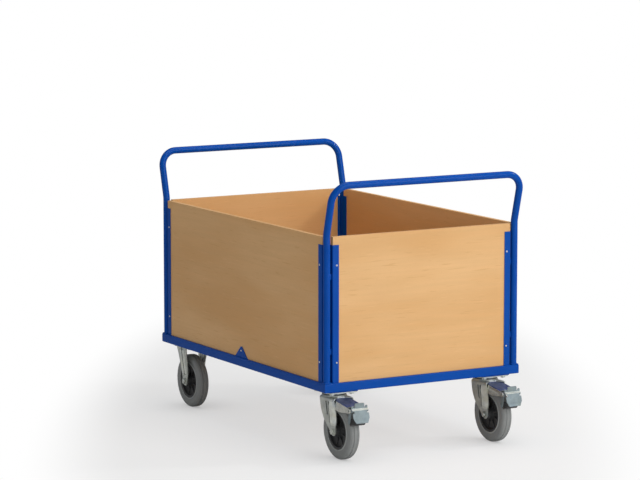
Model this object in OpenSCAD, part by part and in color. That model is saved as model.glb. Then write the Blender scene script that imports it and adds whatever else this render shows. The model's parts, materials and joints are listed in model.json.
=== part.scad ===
// Four-wall platform trolley: a tubular steel frame with a load deck, two bent
// tube hoops that serve as push bars, four board walls held in corner channels,
// two braked swivel castors at the front and two fixed castors at the rear.
// X runs across the trolley, Y from front to rear, Z up from the floor.

/* [Platform] */
// Width of the frame over its side rails
platform_w = 800; // [600:10:1000]
// Length of the frame over its end rails
platform_l = 1240; // [800:10:1500]
// Height of a rail
rail_h = 32; // [26:1:50]
// Width of a rail
rail_w = 40; // [36:1:60]
// Wall thickness of a rail
rail_wall = 2.5; // [1.5:0.5:4]
// Thickness of the deck board
deck_t = 15; // [12:1:20]
// Number of cross bearers under the deck
bearer_count = 5; // [3:1:7]
// Width of a cross bearer
bearer_w = 30; // [20:1:40]
// Wall thickness of a cross bearer
bearer_wall = 2; // [1.5:0.5:3]

/* [Walls] */
// Thickness of a wall panel
panel_t = 15; // [12:1:18]
// Height of a wall panel above the rails
panel_h = 510.5; // [300:0.5:700]
// From the frame's outer face to the outer face of a panel
panel_inset = 9; // [7:0.5:12]
// From the frame's outer face to the end of a panel
panel_end_inset = 36; // [34:1:45]
// Length of a corner channel
channel_l = 482; // [280:1:680]
// Sheet thickness of a corner channel
channel_wall = 2; // [1.5:0.5:2.5]
// Depth of a channel, from its web's back to its flange's edge
channel_depth = 25.5; // [20:0.5:35]
// Depth of the short inner lip on an end channel
channel_lip = 10; // [6:0.5:20]
// Distance of a panel screw from either end of its channel
screw_margin = 71; // [30:1:120]
// Distance of a panel screw from the edge of its flange
screw_edge = 9; // [6:0.5:12]
// Length of a side bracket along its rail
bracket_l = 100; // [60:1:160]
// Height of a side bracket above its rail
bracket_h = 40; // [30:1:70]
// Sheet thickness of a side bracket
bracket_t = 3; // [2:0.5:4]

/* [Hoops] */
// Outer diameter of a hoop's tube
tube_d = 25; // [20:0.5:27]
// Wall thickness of a hoop's tube
tube_wall = 2; // [1.5:0.5:3]
// From the frame's outer faces to the axis of a hoop's leg
tube_inset = 15; // [14:0.5:18]
// Height of a push bar's axis above the rails
hoop_h = 691; // [600:1:900]
// Height above the rails at which a leg starts to lean outwards
knee_h = 519; // [400:1:580]
// How far a push bar stands out from the line of its legs
hoop_lean = 45.5; // [20:0.5:80]
// Bend radius at a hoop's top corners
hoop_corner_r = 62; // [45:1:90]
// Bend radius where a leg starts to lean
knee_r = 60; // [40:1:90]
// Side of the square plate under a leg
foot_size = 28; // [27:1:32]
// Thickness of the plate under a leg
foot_t = 3; // [2:0.5:5]

/* [Castors] */
// Diameter of a wheel over its tyre
wheel_d = 200; // [160:1:240]
// Width of a tyre
tyre_w = 40; // [34:1:48]
// Thickness of a tyre
tyre_t = 35; // [25:1:45]
// Height of a castor above the top of its wheel
castor_head = 39; // [37:0.5:60]
// From the frame's side face to a castor's centre
castor_inset_x = 86; // [75:1:120]
// From the frame's end face to a castor's centre
castor_inset_y = 85; // [75:1:120]
// Horizontal distance from a kingpin to its axle
castor_trail = 50.5; // [40:0.5:60]
// Width of a castor's top plate, across the trolley
plate_w = 110; // [100:1:130]
// Length of a castor's top plate, along the trolley
plate_l = 138; // [125:1:160]
// Thickness of a castor's top plate
plate_t = 4; // [3:0.5:6]
// Thickness of the frame's castor mounting plate
mount_t = 5; // [4:0.5:8]
// How far a mounting plate stands out around a castor's top plate
mount_margin = 2; // [1:0.5:6]
// Hole spacing of a castor plate, across the trolley
bolt_pitch_x = 80; // [76:1:88]
// Hole spacing of a castor plate, along the trolley
bolt_pitch_y = 105; // [100:1:112]
// Thread diameter of the castor bolts
bolt_d = 10; // [8:1:12]
// Diameter of an axle
axle_d = 12; // [10:1:14]
// Length of the hub between a castor's legs
hub_l = 61; // [55:1:70]
// Sheet thickness of a fork
fork_t = 3.5; // [2.5:0.5:5]

/* [Brakes] */
// How far a brake pedal turns when it is pressed down
brake_throw = 18; // [10:1:20]
// From the front of the tyre to the pedal's pivot
brake_ahead = 11.5; // [8:0.5:20]
// From the top of the castor to the pedal's pivot
brake_drop = 48; // [42:0.5:60]
// Width of a brake pedal
pedal_w = 64; // [56:1:68]
// Sheet thickness of a brake pedal and of its bracket
pedal_t = 2.5; // [2:0.5:3.5]

/* [Hidden] */
$fn = 48;

left = -1;
right = 1;
eps = 1;              // overshoot of a cut past the faces it opens

// Clearances, all radial or per side
press_gap = 0.02;     // parts that are pressed or threaded together
running_gap = 0.05;   // parts that turn in each other
side_gap = 0.3;       // parts that move past each other

// Levels above the floor
castor_h = wheel_d + castor_head;
rail_z = castor_h + mount_t;
rail_top = rail_z + rail_h;
axle_z = wheel_d / 2;

// Castor head, downwards from the top plate
race_r = 35.5;
race_w = 14.5;
race_h = 8;
race_foot_h = 5.5;
ball_r = 3.5;
ball_count = 18;
ball_pocket = 0.1;
head_gap = 16.5;
crown_top = castor_h - plate_t - head_gap;
ball_z = crown_top + race_foot_h + (head_gap - race_h - race_foot_h) / 2;
race_out = race_r + race_w / 2;
race_in = race_r - race_w / 2;
kingpin_d = 12;
kingpin_collar_r = 11;
kingpin_nut_h = 8;
kingpin_nut_r = 11;

// Fork and fixed bracket
leg_in = hub_l / 2 + fork_t / 2;       // middle of a leg's sheet at the axle
leg_end_r = 15.5;
leg_end_drop = axle_z + 50;            // where a leg starts to flare
crown_half = leg_in + 8.5;
fork_back = 30;
fork_belly = [50, 65.7];               // half-axes of the leg's curved rear edge
fixed_half_x = 47;
fixed_half_y = [40, 27, 17];           // half-width of a fixed leg at top, middle and axle
fixed_mid_z = axle_z + 50;

// Brake
pivot = [-(castor_trail + wheel_d / 2 + brake_ahead), castor_h - brake_drop];
pivot_r = 4;
arm_half = 34;
arm_r = 9;
cheek_out = arm_half - pedal_t - side_gap;
cheek_in = cheek_out - pedal_t;
ledge = [-18, 3];                      // pedal's fold, flap tip and tab, from the pivot
flap_tip = [-32, -40];
tab_foot = [-10, 8];
tab_top = [-10, 27];
tab_w = 38;
pad_angle = 30;                        // of the pad on the tyre, above the horizontal
pad_sweep = 14;
pad_t = 9;
pad_gap = 0.5;
bracket_slope_y = -45;
bracket_top_end = pivot[0] + 14;
pedal_reach = -(pivot[0] + flap_tip[0]) + abs(normal(ledge, flap_tip)[0]) * pedal_t / 2;

// Wheel
sleeve_r = 8.5;
bearing_r = 11.5;
hub_r = 20;
rim_r = wheel_d / 2 - tyre_t;
rim_band = 9;
rim_w = tyre_w - 4;
web_t = 9;

// Screws
screw_r = 2.2;
screw_head_r = 3.2;
screw_head_h = 2;
screw_l = 12;
deck_screw_head_r = 4.5;
deck_screw_rows = 3;

// The origin lies on the floor under the middle of the whole trolley, so the
// platform's own middle is off it by half the difference of the two reaches.
front_reach = platform_l / 2 - castor_inset_y + pedal_reach;
rear_reach = platform_l / 2 - tube_inset + hoop_lean + tube_d / 2;
mid_y = (front_reach - rear_reach) / 2;

blue = [0.0, 0.27, 0.62];
beech = [0.84, 0.66, 0.44];
zinc = [0.74, 0.76, 0.72];
black_plastic = [0.12, 0.12, 0.13];
grey_rubber = [0.42, 0.43, 0.43];

// ---- Helpers -------------------------------------------------------------

// Outline of a sheet of thickness t bent along the points p, with mitred folds
function unit(v) = v / norm(v);
function normal(a, b) = let (d = unit(b - a)) [-d[1], d[0]];
function fold(p, i) =
    let (last = len(p) - 1,
         before = normal(p[max(i - 1, 0)], p[max(i, 1)]),
         after = normal(p[min(i, last - 1)], p[min(i + 1, last)]),
         middle = unit(before + after))
    middle / (middle * before);
function sheet(p, t) = concat(
    [for (i = [0 : len(p) - 1]) p[i] + fold(p, i) * t / 2],
    [for (i = [len(p) - 1 : -1 : 0]) p[i] - fold(p, i) * t / 2]);

// Points along an elliptical arc from angle a0 to a1
function arc(c, rx, ry, a0, a1, n) =
    [for (i = [0 : n]) let (a = a0 + (a1 - a0) * i / n) c + [rx * cos(a), ry * sin(a)]];

// A point turned by angle a about a centre
function turned(p, c, a) =
    c + [(p[0] - c[0]) * cos(a) - (p[1] - c[1]) * sin(a),
         (p[0] - c[0]) * sin(a) + (p[1] - c[1]) * cos(a)];

// Two round ends joined by their common tangents
module link(p1, r1, p2, r2) {
    d = p2 - p1;
    along = atan2(d[1], d[0]);
    lean = acos((r1 - r2) / norm(d));
    translate(p1) circle(r = r1);
    translate(p2) circle(r = r2);
    polygon([for (e = [[p1, r1, 1], [p2, r2, 1], [p2, r2, -1], [p1, r1, -1]])
        e[0] + e[1] * [cos(along + e[2] * lean), sin(along + e[2] * lean)]]);
}

// Extrudes a Y-Z outline across the width w, centred on X
module across(w) rotate([90, 0, 90]) linear_extrude(w, center = true) children();
// Extrudes an X-Z outline along the length l, centred on Y
module lengthwise(l) rotate([90, 0, 0]) linear_extrude(l, center = true) children();

// A cylinder along X, centred, with its axis through the Y-Z point p
module cross_pin(p, r, l) translate([0, p[0], p[1]]) rotate([0, 90, 0]) cylinder(r = r, h = l, center = true);
module hexagon(r, h) cylinder(r = r, h = h, $fn = 6);

module rounded_plate(w, l, t, r) {
    linear_extrude(t) union() {
        square([w - 2 * r, l], center = true);
        square([w, l - 2 * r], center = true);
        for (x = [-1, 1], y = [-1, 1]) translate([x * (w / 2 - r), y * (l / 2 - r)]) circle(r = r);
    }
}

// Places a front left corner's parts at all four corners, on the rails' outer faces
module at_corners() {
    for (mx = [0, 1], my = [0, 1])
        translate([0, mid_y, 0]) mirror([mx, 0, 0]) mirror([0, my, 0])
            translate([-platform_w / 2, -platform_l / 2, 0]) children();
}
module at_front_castor(side)
    translate([side * (platform_w / 2 - castor_inset_x), mid_y - platform_l / 2 + castor_inset_y, 0]) children();
module at_rear_castor(side)
    translate([side * (platform_w / 2 - castor_inset_x), mid_y + platform_l / 2 - castor_inset_y, 0]) children();
module at_front_axle(side) at_front_castor(side) translate([0, -castor_trail, axle_z]) children();
module at_rear_axle(side) at_rear_castor(side) translate([0, 0, axle_z]) children();
module at_plate_bolts() {
    for (x = [-1, 1], y = [-1, 1])
        translate([x * bolt_pitch_x / 2, y * bolt_pitch_y / 2, 0]) children();
}
module at_all_castors() {
    for (side = [left, right]) {
        at_front_castor(side) children();
        at_rear_castor(side) children();
    }
}

// ---- Platform ------------------------------------------------------------

// A mitred hollow rail along X with its outer face on Y = 0
module rail(l) {
    difference() {
        linear_extrude(rail_h)
            polygon([[-l / 2, 0], [l / 2, 0], [l / 2 - rail_w, rail_w], [-l / 2 + rail_w, rail_w]]);
        translate([-l / 2 - eps, rail_wall, rail_wall])
            cube([l + 2 * eps, rail_w - 2 * rail_wall, rail_h - 2 * rail_wall]);
    }
}
module end_rail(turn)
    color(blue) translate([0, mid_y, rail_z]) rotate([0, 0, turn]) translate([0, -platform_l / 2, 0]) rail(platform_w);
module side_rail(turn)
    color(blue) translate([0, mid_y, rail_z]) rotate([0, 0, turn]) translate([0, -platform_w / 2, 0]) rail(platform_l);
module front_rail() end_rail(0);
module rear_rail() end_rail(180);
module left_rail() side_rail(-90);
module right_rail() side_rail(90);

bearer_span = platform_l - 2 * rail_w - bearer_w;
module at_bearers() {
    for (i = [0 : bearer_count - 1])
        translate([0, mid_y - bearer_span / 2 + i * bearer_span / (bearer_count - 1), rail_z]) children();
}
module deck_bearers() {
    h = rail_h - deck_t;
    l = platform_w - 2 * rail_w;
    color(blue) at_bearers() difference() {
        translate([-l / 2, -bearer_w / 2, 0]) cube([l, bearer_w, h]);
        translate([-l / 2 - eps, -bearer_w / 2 + bearer_wall, bearer_wall])
            cube([l + 2 * eps, bearer_w - 2 * bearer_wall, h - 2 * bearer_wall]);
        at_deck_screws() cylinder(r = screw_r + press_gap, h = rail_h);
    }
}
module at_deck_screws() {
    pitch = (platform_w - 2 * rail_w - 2 * bearer_w) / (deck_screw_rows - 1);
    for (i = [0 : deck_screw_rows - 1])
        translate([(i - (deck_screw_rows - 1) / 2) * pitch, 0, (rail_h - deck_t) / 2]) children();
}
// A countersunk screw, and with a gap the hole that it seats in
module deck_screw(gap = 0) {
    h = rail_h - (rail_h - deck_t) / 2;
    cylinder(r = screw_r + gap, h = h);
    translate([0, 0, h - deck_screw_head_r + screw_r])
        cylinder(r1 = screw_r + gap, r2 = deck_screw_head_r + gap, h = deck_screw_head_r - screw_r);
}
module deck_board() {
    color(beech) difference() {
        translate([0, mid_y, rail_top - deck_t / 2])
            cube([platform_w - 2 * rail_w, platform_l - 2 * rail_w, deck_t], center = true);
        at_bearers() at_deck_screws() deck_screw(press_gap);
    }
}
module deck_screws() color(zinc) at_bearers() at_deck_screws() deck_screw();

module castor_mount_plates() {
    color(blue) at_all_castors() translate([0, 0, castor_h]) difference() {
        rounded_plate(plate_w + 2 * mount_margin, plate_l + 2 * mount_margin, mount_t, 6);
        at_plate_bolts() translate([0, 0, -eps]) cylinder(d = bolt_d + 2 * press_gap, h = mount_t + 2 * eps);
    }
}

// ---- Hoops ---------------------------------------------------------------

lean_angle = atan2(hoop_lean, hoop_h - knee_h);
knee_cut = knee_r * tan(lean_angle / 2);
top_run = norm([hoop_lean, hoop_h - knee_h]);

// Straight and bent lengths of hollow tube, from the origin along Z
module tube_end() difference() {
    circle(d = tube_d);
    circle(d = tube_d - 2 * tube_wall);
}
module straight_tube(l) linear_extrude(l) tube_end();
// A bend of radius r that starts along Z and turns towards -Y
module bent_tube(r, angle) translate([0, -r, 0]) rotate([90, 0, 90])
    rotate_extrude(angle = angle) translate([r, 0]) tube_end();

// One half of a hoop with the foot of its leg on the origin: the leg, its knee
// leaning towards -Y, the top corner towards +X and half of the push bar
module hoop_side() {
    bar = platform_w / 2 - tube_inset - hoop_corner_r;
    translate([0, 0, foot_t]) straight_tube(knee_h - knee_cut - foot_t);
    translate([0, 0, knee_h - knee_cut]) bent_tube(knee_r, lean_angle);
    translate([0, 0, knee_h]) rotate([lean_angle, 0, 0]) {
        translate([0, 0, knee_cut]) straight_tube(top_run - hoop_corner_r - knee_cut);
        translate([0, 0, top_run - hoop_corner_r]) rotate([0, 0, 90]) bent_tube(hoop_corner_r, 90);
        translate([hoop_corner_r, 0, top_run]) rotate([0, 90, 0]) straight_tube(bar);
    }
}
module hoop(turn) {
    span = platform_w - 2 * tube_inset;
    color(blue) translate([0, mid_y, rail_top]) rotate([0, 0, turn])
        translate([0, -platform_l / 2 + tube_inset, 0])
            for (m = [0, 1]) mirror([m, 0, 0]) translate([-span / 2, 0, 0]) hoop_side();
}
module front_hoop() hoop(0);
module rear_hoop() hoop(180);
module hoop_foot_plates() {
    color(blue) at_corners() translate([tube_inset - foot_size / 2, tube_inset - foot_size / 2, rail_top])
        cube([foot_size, foot_size, foot_t]);
}

// ---- Walls ---------------------------------------------------------------

web_back = panel_end_inset - channel_wall;
screw_pos = web_back + channel_depth - screw_edge;
screw_levels = [rail_top + screw_margin, rail_top + channel_l - screw_margin];

// Plan of a corner channel whose web faces along +X, with its outer flange
// along the panel's outer face and its inner flange of its own depth
module channel_plan(inner_depth) {
    mid = channel_wall / 2;
    polygon(sheet([
        [web_back + channel_depth, panel_inset - mid],
        [web_back + mid, panel_inset - mid],
        [web_back + mid, panel_inset + panel_t + mid],
        [web_back + inner_depth, panel_inset + panel_t + mid]], channel_wall));
}
// A hole or screw along the panel's thickness, from the flange's outer face
module at_panel_screws() {
    for (z = screw_levels) translate([screw_pos, panel_inset - channel_wall, z]) rotate([-90, 0, 0]) children();
}
module channel(inner_depth) {
    difference() {
        translate([0, 0, rail_top]) linear_extrude(channel_l) channel_plan(inner_depth);
        at_panel_screws() translate([0, 0, -eps]) cylinder(r = screw_r + press_gap, h = channel_wall + 2 * eps);
    }
}
// Swaps X and Y at a corner, so what serves an end wall serves a side wall
module side_turned() mirror([1, -1, 0]) children();

module end_channels() color(blue) at_corners() channel(channel_lip);
module side_channels() color(blue) at_corners() side_turned() channel(channel_depth);

tie_h = 20;
tie_t = 3;
tie_margin = 110;
module tie() {
    reach = web_back - tube_inset;
    difference() {
        translate([tube_inset, tube_inset - tie_t / 2, -tie_h / 2]) cube([reach, tie_t, tie_h]);
        translate([tube_inset, tube_inset, -tie_h]) cylinder(d = tube_d, h = 2 * tie_h);
    }
}
module channel_ties() {
    color(blue) at_corners() for (z = [rail_top + tie_margin, rail_top + channel_l - tie_margin])
        translate([0, 0, z]) {
            tie();
            side_turned() tie();
        }
}

// A panel with its outer face towards -Y at y, running l along X
module panel(l) {
    translate([-l / 2, 0, rail_top]) cube([l, panel_t, panel_h]);
}
module panel_holes() {
    gap = press_gap;
    at_corners() {
        at_panel_screws() cylinder(r = screw_r + gap, h = channel_wall + screw_l + gap);
        side_turned() at_panel_screws() cylinder(r = screw_r + gap, h = channel_wall + screw_l + gap);
    }
    at_brackets() at_bracket_screw() cylinder(r = screw_r + gap, h = bracket_t + screw_l + gap);
}
module end_panel(turn) {
    color(beech) difference() {
        translate([0, mid_y, 0]) rotate([0, 0, turn]) translate([0, -platform_l / 2 + panel_inset, 0])
            panel(platform_w - 2 * panel_end_inset);
        panel_holes();
    }
}
module side_panel(turn) {
    color(beech) difference() {
        translate([0, mid_y, 0]) rotate([0, 0, turn]) translate([0, -platform_w / 2 + panel_inset, 0])
            panel(platform_l - 2 * panel_end_inset);
        panel_holes();
    }
}
module front_panel() end_panel(0);
module rear_panel() end_panel(180);
module left_panel() side_panel(-90);
module right_panel() side_panel(90);

// Side brackets stand on the middle of the side rails, against the panels
bracket_tip = 8;
bracket_screw_h = 25;
module at_brackets() {
    for (turn = [-90, 90]) translate([0, mid_y, rail_top]) rotate([0, 0, turn])
        translate([0, -platform_w / 2 + panel_inset - bracket_t, 0]) children();
}
module at_bracket_screw() translate([0, 0, bracket_screw_h]) rotate([-90, 0, 0]) children();
module side_brackets() {
    color(blue) at_brackets() difference() {
        translate([0, bracket_t / 2, 0]) lengthwise(bracket_t)
            polygon([[-bracket_l / 2, 0], [bracket_l / 2, 0], [bracket_tip / 2, bracket_h], [-bracket_tip / 2, bracket_h]]);
        at_bracket_screw() translate([0, 0, -eps]) cylinder(r = screw_r + press_gap, h = bracket_t + 2 * eps);
    }
}

// A round-headed screw that grips a sheet of thickness t
module panel_screw(t) {
    cylinder(r = screw_r, h = t + screw_l);
    difference() {
        translate([0, 0, -screw_head_h]) cylinder(r1 = screw_head_r - 1, r2 = screw_head_r, h = screw_head_h);
        for (turn = [0, 90]) rotate([0, 0, turn])
            translate([-1.6, -0.35, -screw_head_h - eps]) cube([3.2, 0.7, screw_head_h / 2 + eps]);
    }
}
module panel_screws() {
    color(zinc) {
        at_corners() {
            at_panel_screws() panel_screw(channel_wall);
            side_turned() at_panel_screws() panel_screw(channel_wall);
        }
        at_brackets() at_bracket_screw() panel_screw(bracket_t);
    }
}

// ---- Castor heads --------------------------------------------------------

module castor_bolts() {
    head_h = 6.4;
    color(zinc) at_all_castors() at_plate_bolts() translate([0, 0, castor_h - plate_t]) {
        cylinder(d = bolt_d, h = plate_t + mount_t);
        translate([0, 0, -head_h]) hexagon(bolt_d * 0.95, head_h);
    }
}
module top_plate() {
    translate([0, 0, castor_h - plate_t]) difference() {
        rounded_plate(plate_w, plate_l, plate_t, 8);
        at_plate_bolts() translate([0, 0, -eps]) cylinder(d = bolt_d + 1, h = plate_t + 2 * eps);
    }
}
// Torus that the balls run in
module raceway()
    translate([0, 0, ball_z]) rotate_extrude() translate([race_r, 0]) circle(r = ball_r + ball_pocket);
module ring(r_out, r_in, h) {
    difference() {
        cylinder(r = r_out, h = h);
        translate([0, 0, -eps]) cylinder(r = r_in, h = h + 2 * eps);
    }
}
module swivel_plates() {
    color(zinc) for (side = [left, right]) at_front_castor(side) difference() {
        union() {
            top_plate();
            translate([0, 0, castor_h - plate_t - race_h]) ring(race_out, race_in, race_h);
        }
        translate([0, 0, castor_h - plate_t - eps]) cylinder(d = kingpin_d + 2 * press_gap, h = plate_t + 2 * eps);
        raceway();
    }
}
module swivel_seals() {
    h = head_gap - race_h - race_foot_h - side_gap;
    color(black_plastic) for (side = [left, right]) at_front_castor(side)
        translate([0, 0, castor_h - plate_t - race_h - h]) ring(race_out, race_out - 2.5, h);
}
module swivel_balls() {
    color(zinc) for (side = [left, right]) at_front_castor(side)
        for (i = [0 : ball_count - 1]) rotate([0, 0, i * 360 / ball_count])
            translate([race_r, 0, ball_z]) sphere(r = ball_r);
}
kingpin_end = crown_top - fork_t - pedal_t - running_gap * 2;   // lowest face that it clamps
module kingpins() {
    top = castor_h;
    bottom = kingpin_end - kingpin_nut_h;
    color(zinc) for (side = [left, right]) at_front_castor(side) {
        translate([0, 0, bottom]) cylinder(d = kingpin_d, h = top - bottom);
        translate([0, 0, castor_h - plate_t - race_h + eps]) cylinder(r = kingpin_collar_r, h = race_h - eps);
    }
}
module kingpin_nuts() {
    color(zinc) for (side = [left, right]) at_front_castor(side)
        translate([0, 0, kingpin_end - kingpin_nut_h]) difference() {
            hexagon(kingpin_nut_r, kingpin_nut_h);
            translate([0, 0, -eps]) cylinder(d = kingpin_d + 2 * press_gap, h = kingpin_nut_h + 2 * eps);
        }
}

// ---- Fork ----------------------------------------------------------------

fork_front = -castor_trail - leg_end_r;
belly_centre = [fork_back - fork_belly[0], crown_top - 33.5];

module fork_side() {
    polygon(concat(
        [[fork_front, crown_top + eps]],
        arc([-castor_trail, axle_z], leg_end_r, leg_end_r, 180, 310, 12),
        arc(belly_centre, fork_belly[0], fork_belly[1], -64, 0, 10),
        [[fork_back, crown_top + eps]]));
}
module fork_front_view() {
    half = fork_t / 2;
    path = [[leg_in, axle_z - leg_end_r - eps], [leg_in, leg_end_drop], [crown_half, crown_top - 8],
            [crown_half - 6, crown_top - half]];
    polygon(sheet(concat(path, [for (i = [len(path) - 1 : -1 : 0]) [-path[i][0], path[i][1]]]), fork_t));
}
module fork(side) {
    crown_r = race_out + 3;
    color(zinc) at_front_castor(side) difference() {
        union() {
            intersection() {
                lengthwise(4 * wheel_d) fork_front_view();
                across(4 * wheel_d) fork_side();
            }
            translate([0, 0, crown_top - fork_t]) cylinder(r = crown_r, h = fork_t);
            translate([0, 0, crown_top]) ring(race_out, race_in, race_foot_h);
        }
        cylinder(d = kingpin_d + 2 * running_gap, h = castor_h);
        cross_pin([-castor_trail, axle_z], axle_d / 2 + press_gap, 4 * hub_l);
        raceway();
    }
}

// ---- Brake ---------------------------------------------------------------

bracket_roof = crown_top - fork_t;
bracket_rise = (bracket_roof - pivot[1] - arm_r) / (bracket_slope_y - pivot[0]);
function roof_at(y) = bracket_roof - max(0, bracket_slope_y - y) * bracket_rise;

module brake_bracket(side) {
    tail = 20;
    arm_drop = 20;
    color(zinc) at_front_castor(side) difference() {
        union() {
            for (x = [-1, 1]) translate([x * (arm_half - pedal_t / 2), 0, 0]) across(pedal_t) {
                polygon([[tail, bracket_roof], [bracket_slope_y, bracket_roof], [pivot[0], pivot[1] + arm_r],
                         [pivot[0], pivot[1] - arm_r / 2], [fork_front, bracket_roof - 35],
                         [tail, bracket_roof - arm_drop]]);
                translate(pivot) circle(r = arm_r);
            }
            across(2 * arm_half) polygon([
                [tail, bracket_roof], [bracket_slope_y, bracket_roof], [bracket_top_end, roof_at(bracket_top_end)],
                [bracket_top_end, roof_at(bracket_top_end) - pedal_t], [bracket_slope_y, bracket_roof - pedal_t],
                [tail, bracket_roof - pedal_t]]);
        }
        cylinder(d = kingpin_d + 2 * running_gap, h = castor_h);
        cross_pin(pivot, pivot_r + press_gap, 3 * arm_half);
    }
}
module pedal_pin(side) {
    head_t = 2;
    color(zinc) at_front_castor(side) {
        cross_pin(pivot, pivot_r, 2 * (arm_half + head_t));
        for (x = [-1, 1]) translate([x * (arm_half + head_t / 2), 0, 0]) cross_pin(pivot, pivot_r + 2, head_t);
    }
}

// The pad lies on the tyre when the pedal is down, so its place at rest is the
// pressed place turned back about the pivot.
axle_point = [-castor_trail, axle_z];
pad_mid_r = wheel_d / 2 + pad_gap + pad_t / 2;
pad_pressed = axle_point + pad_mid_r * [-cos(pad_angle), sin(pad_angle)];
pad_rest = turned(pad_pressed, pivot, -brake_throw);

module brake_pad(side) {
    color(black_plastic) at_front_castor(side)
        translate([0, pivot[0], pivot[1]]) rotate([-brake_throw, 0, 0]) translate([0, -pivot[0], -pivot[1]])
            across(2 * cheek_in) polygon(concat(
                arc(axle_point, pad_mid_r + pad_t / 2, pad_mid_r + pad_t / 2,
                    180 - pad_angle - pad_sweep / 2, 180 - pad_angle + pad_sweep / 2, 4),
                arc(axle_point, pad_mid_r - pad_t / 2, pad_mid_r - pad_t / 2,
                    180 - pad_angle + pad_sweep / 2, 180 - pad_angle - pad_sweep / 2, 4)));
}
module brake_pedal(side) {
    flap_w = pedal_w;
    color(zinc) at_front_castor(side) difference() {
        union() {
            for (x = [-1, 1]) translate([x * (cheek_out + cheek_in) / 2, 0, 0]) across(cheek_out - cheek_in) {
                link(pivot, arm_r - 1, pad_rest, pad_t / 2 + 1);
                link(pivot, arm_r - 1, pivot + ledge + [2, -3], 3);
            }
            across(flap_w) polygon(sheet([pivot + tab_foot, pivot + ledge, pivot + flap_tip], pedal_t));
            across(tab_w) polygon(sheet([pivot + tab_top, pivot + tab_foot, pivot + (tab_foot + ledge) / 2], pedal_t));
        }
        cross_pin(pivot, pivot_r + running_gap, 3 * arm_half);
        flap_corners();
    }
}
// Trims the flap's lower corners at an angle
module flap_corners() {
    cut = 12;
    for (m = [0, 1]) mirror([m, 0, 0])
        translate([pedal_w / 2, 0, pivot[1] + flap_tip[1]]) rotate([0, 45, 0])
            translate([-cut / 2, pivot[0] + flap_tip[0] - cut, -cut]) cube([cut, 2 * cut, 2 * cut]);
}

// ---- Fixed castors -------------------------------------------------------

module fixed_castor_brackets() {
    half = fork_t / 2;
    path = [[leg_in, axle_z - fixed_half_y[2] - eps], [leg_in, axle_z + 25],
            [fixed_half_x, castor_h - plate_t + eps]];
    color(zinc) for (side = [left, right]) at_rear_castor(side) difference() {
        union() {
            top_plate();
            for (m = [0, 1]) mirror([m, 0, 0]) intersection() {
                lengthwise(2 * plate_l) polygon(sheet(path, fork_t));
                across(4 * plate_w) polygon(concat(
                    [[fixed_half_y[0], castor_h - plate_t / 2], [-fixed_half_y[0], castor_h - plate_t / 2],
                     [-fixed_half_y[1], fixed_mid_z]],
                    arc([0, axle_z], fixed_half_y[2], fixed_half_y[2], 180, 360, 16),
                    [[fixed_half_y[1], fixed_mid_z]]));
            }
        }
        cross_pin([0, axle_z], axle_d / 2 + press_gap, 4 * hub_l);
    }
}

// ---- Wheels --------------------------------------------------------------

// Turned parts about the axle, which lies along X through the origin
module turned_on_axle() rotate([0, 90, 0]) rotate_extrude($fn = 96) children();

module rim() {
    color(black_plastic) turned_on_axle() {
        translate([bearing_r, -hub_l / 2 + 1]) square([hub_r - bearing_r, hub_l - 2]);
        translate([hub_r - eps, -web_t / 2]) square([rim_r - rim_band - hub_r + 2 * eps, web_t]);
        translate([rim_r - rim_band, -rim_w / 2]) square([rim_band, rim_w]);
    }
}
module tyre() {
    crown = 8;
    shoulder = tyre_w / 2 - crown;
    r = wheel_d / 2;
    color(grey_rubber) turned_on_axle() polygon(concat(
        [[rim_r, -rim_w / 2], [rim_r + 12, -tyre_w / 2]],
        arc([r - shoulder - 2, -crown], shoulder + 2, shoulder, -90, 0, 10),
        arc([r - shoulder - 2, crown], shoulder + 2, shoulder, 0, 90, 10),
        [[rim_r + 12, tyre_w / 2], [rim_r, rim_w / 2]]));
}
module bearing() {
    color(zinc) turned_on_axle() translate([sleeve_r + running_gap, -hub_l / 2 + 3])
        square([bearing_r - sleeve_r - running_gap - press_gap, hub_l - 6]);
}
module axle_sleeve() {
    color(zinc) turned_on_axle() translate([axle_d / 2 + press_gap, -hub_l / 2])
        square([sleeve_r - axle_d / 2 - press_gap, hub_l]);
}
leg_out = hub_l / 2 + fork_t;
axle_head_h = 7.5;
axle_tail = 10;
// Bolt along X with its head outwards on the side s
module axle_bolt(s) {
    color(zinc) mirror([s > 0 ? 1 : 0, 0, 0]) rotate([0, 90, 0]) {
        translate([0, 0, -leg_out]) cylinder(d = axle_d, h = 2 * leg_out + axle_tail);
        translate([0, 0, -leg_out - axle_head_h]) hexagon(axle_d * 0.85, axle_head_h);
    }
}
module axle_nut(s) {
    nut_h = 8;
    color(zinc) mirror([s > 0 ? 1 : 0, 0, 0]) rotate([0, 90, 0]) translate([0, 0, leg_out]) difference() {
        hexagon(axle_d * 0.85, nut_h);
        translate([0, 0, -eps]) cylinder(d = axle_d + 2 * press_gap, h = nut_h + 2 * eps);
    }
}
module rear_axle_bolts() for (side = [left, right]) at_rear_axle(side) axle_bolt(side);
module rear_axle_nuts() for (side = [left, right]) at_rear_axle(side) axle_nut(side);
module rear_axle_sleeves() for (side = [left, right]) at_rear_axle(side) axle_sleeve();

// ---- Assembly ------------------------------------------------------------

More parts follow.
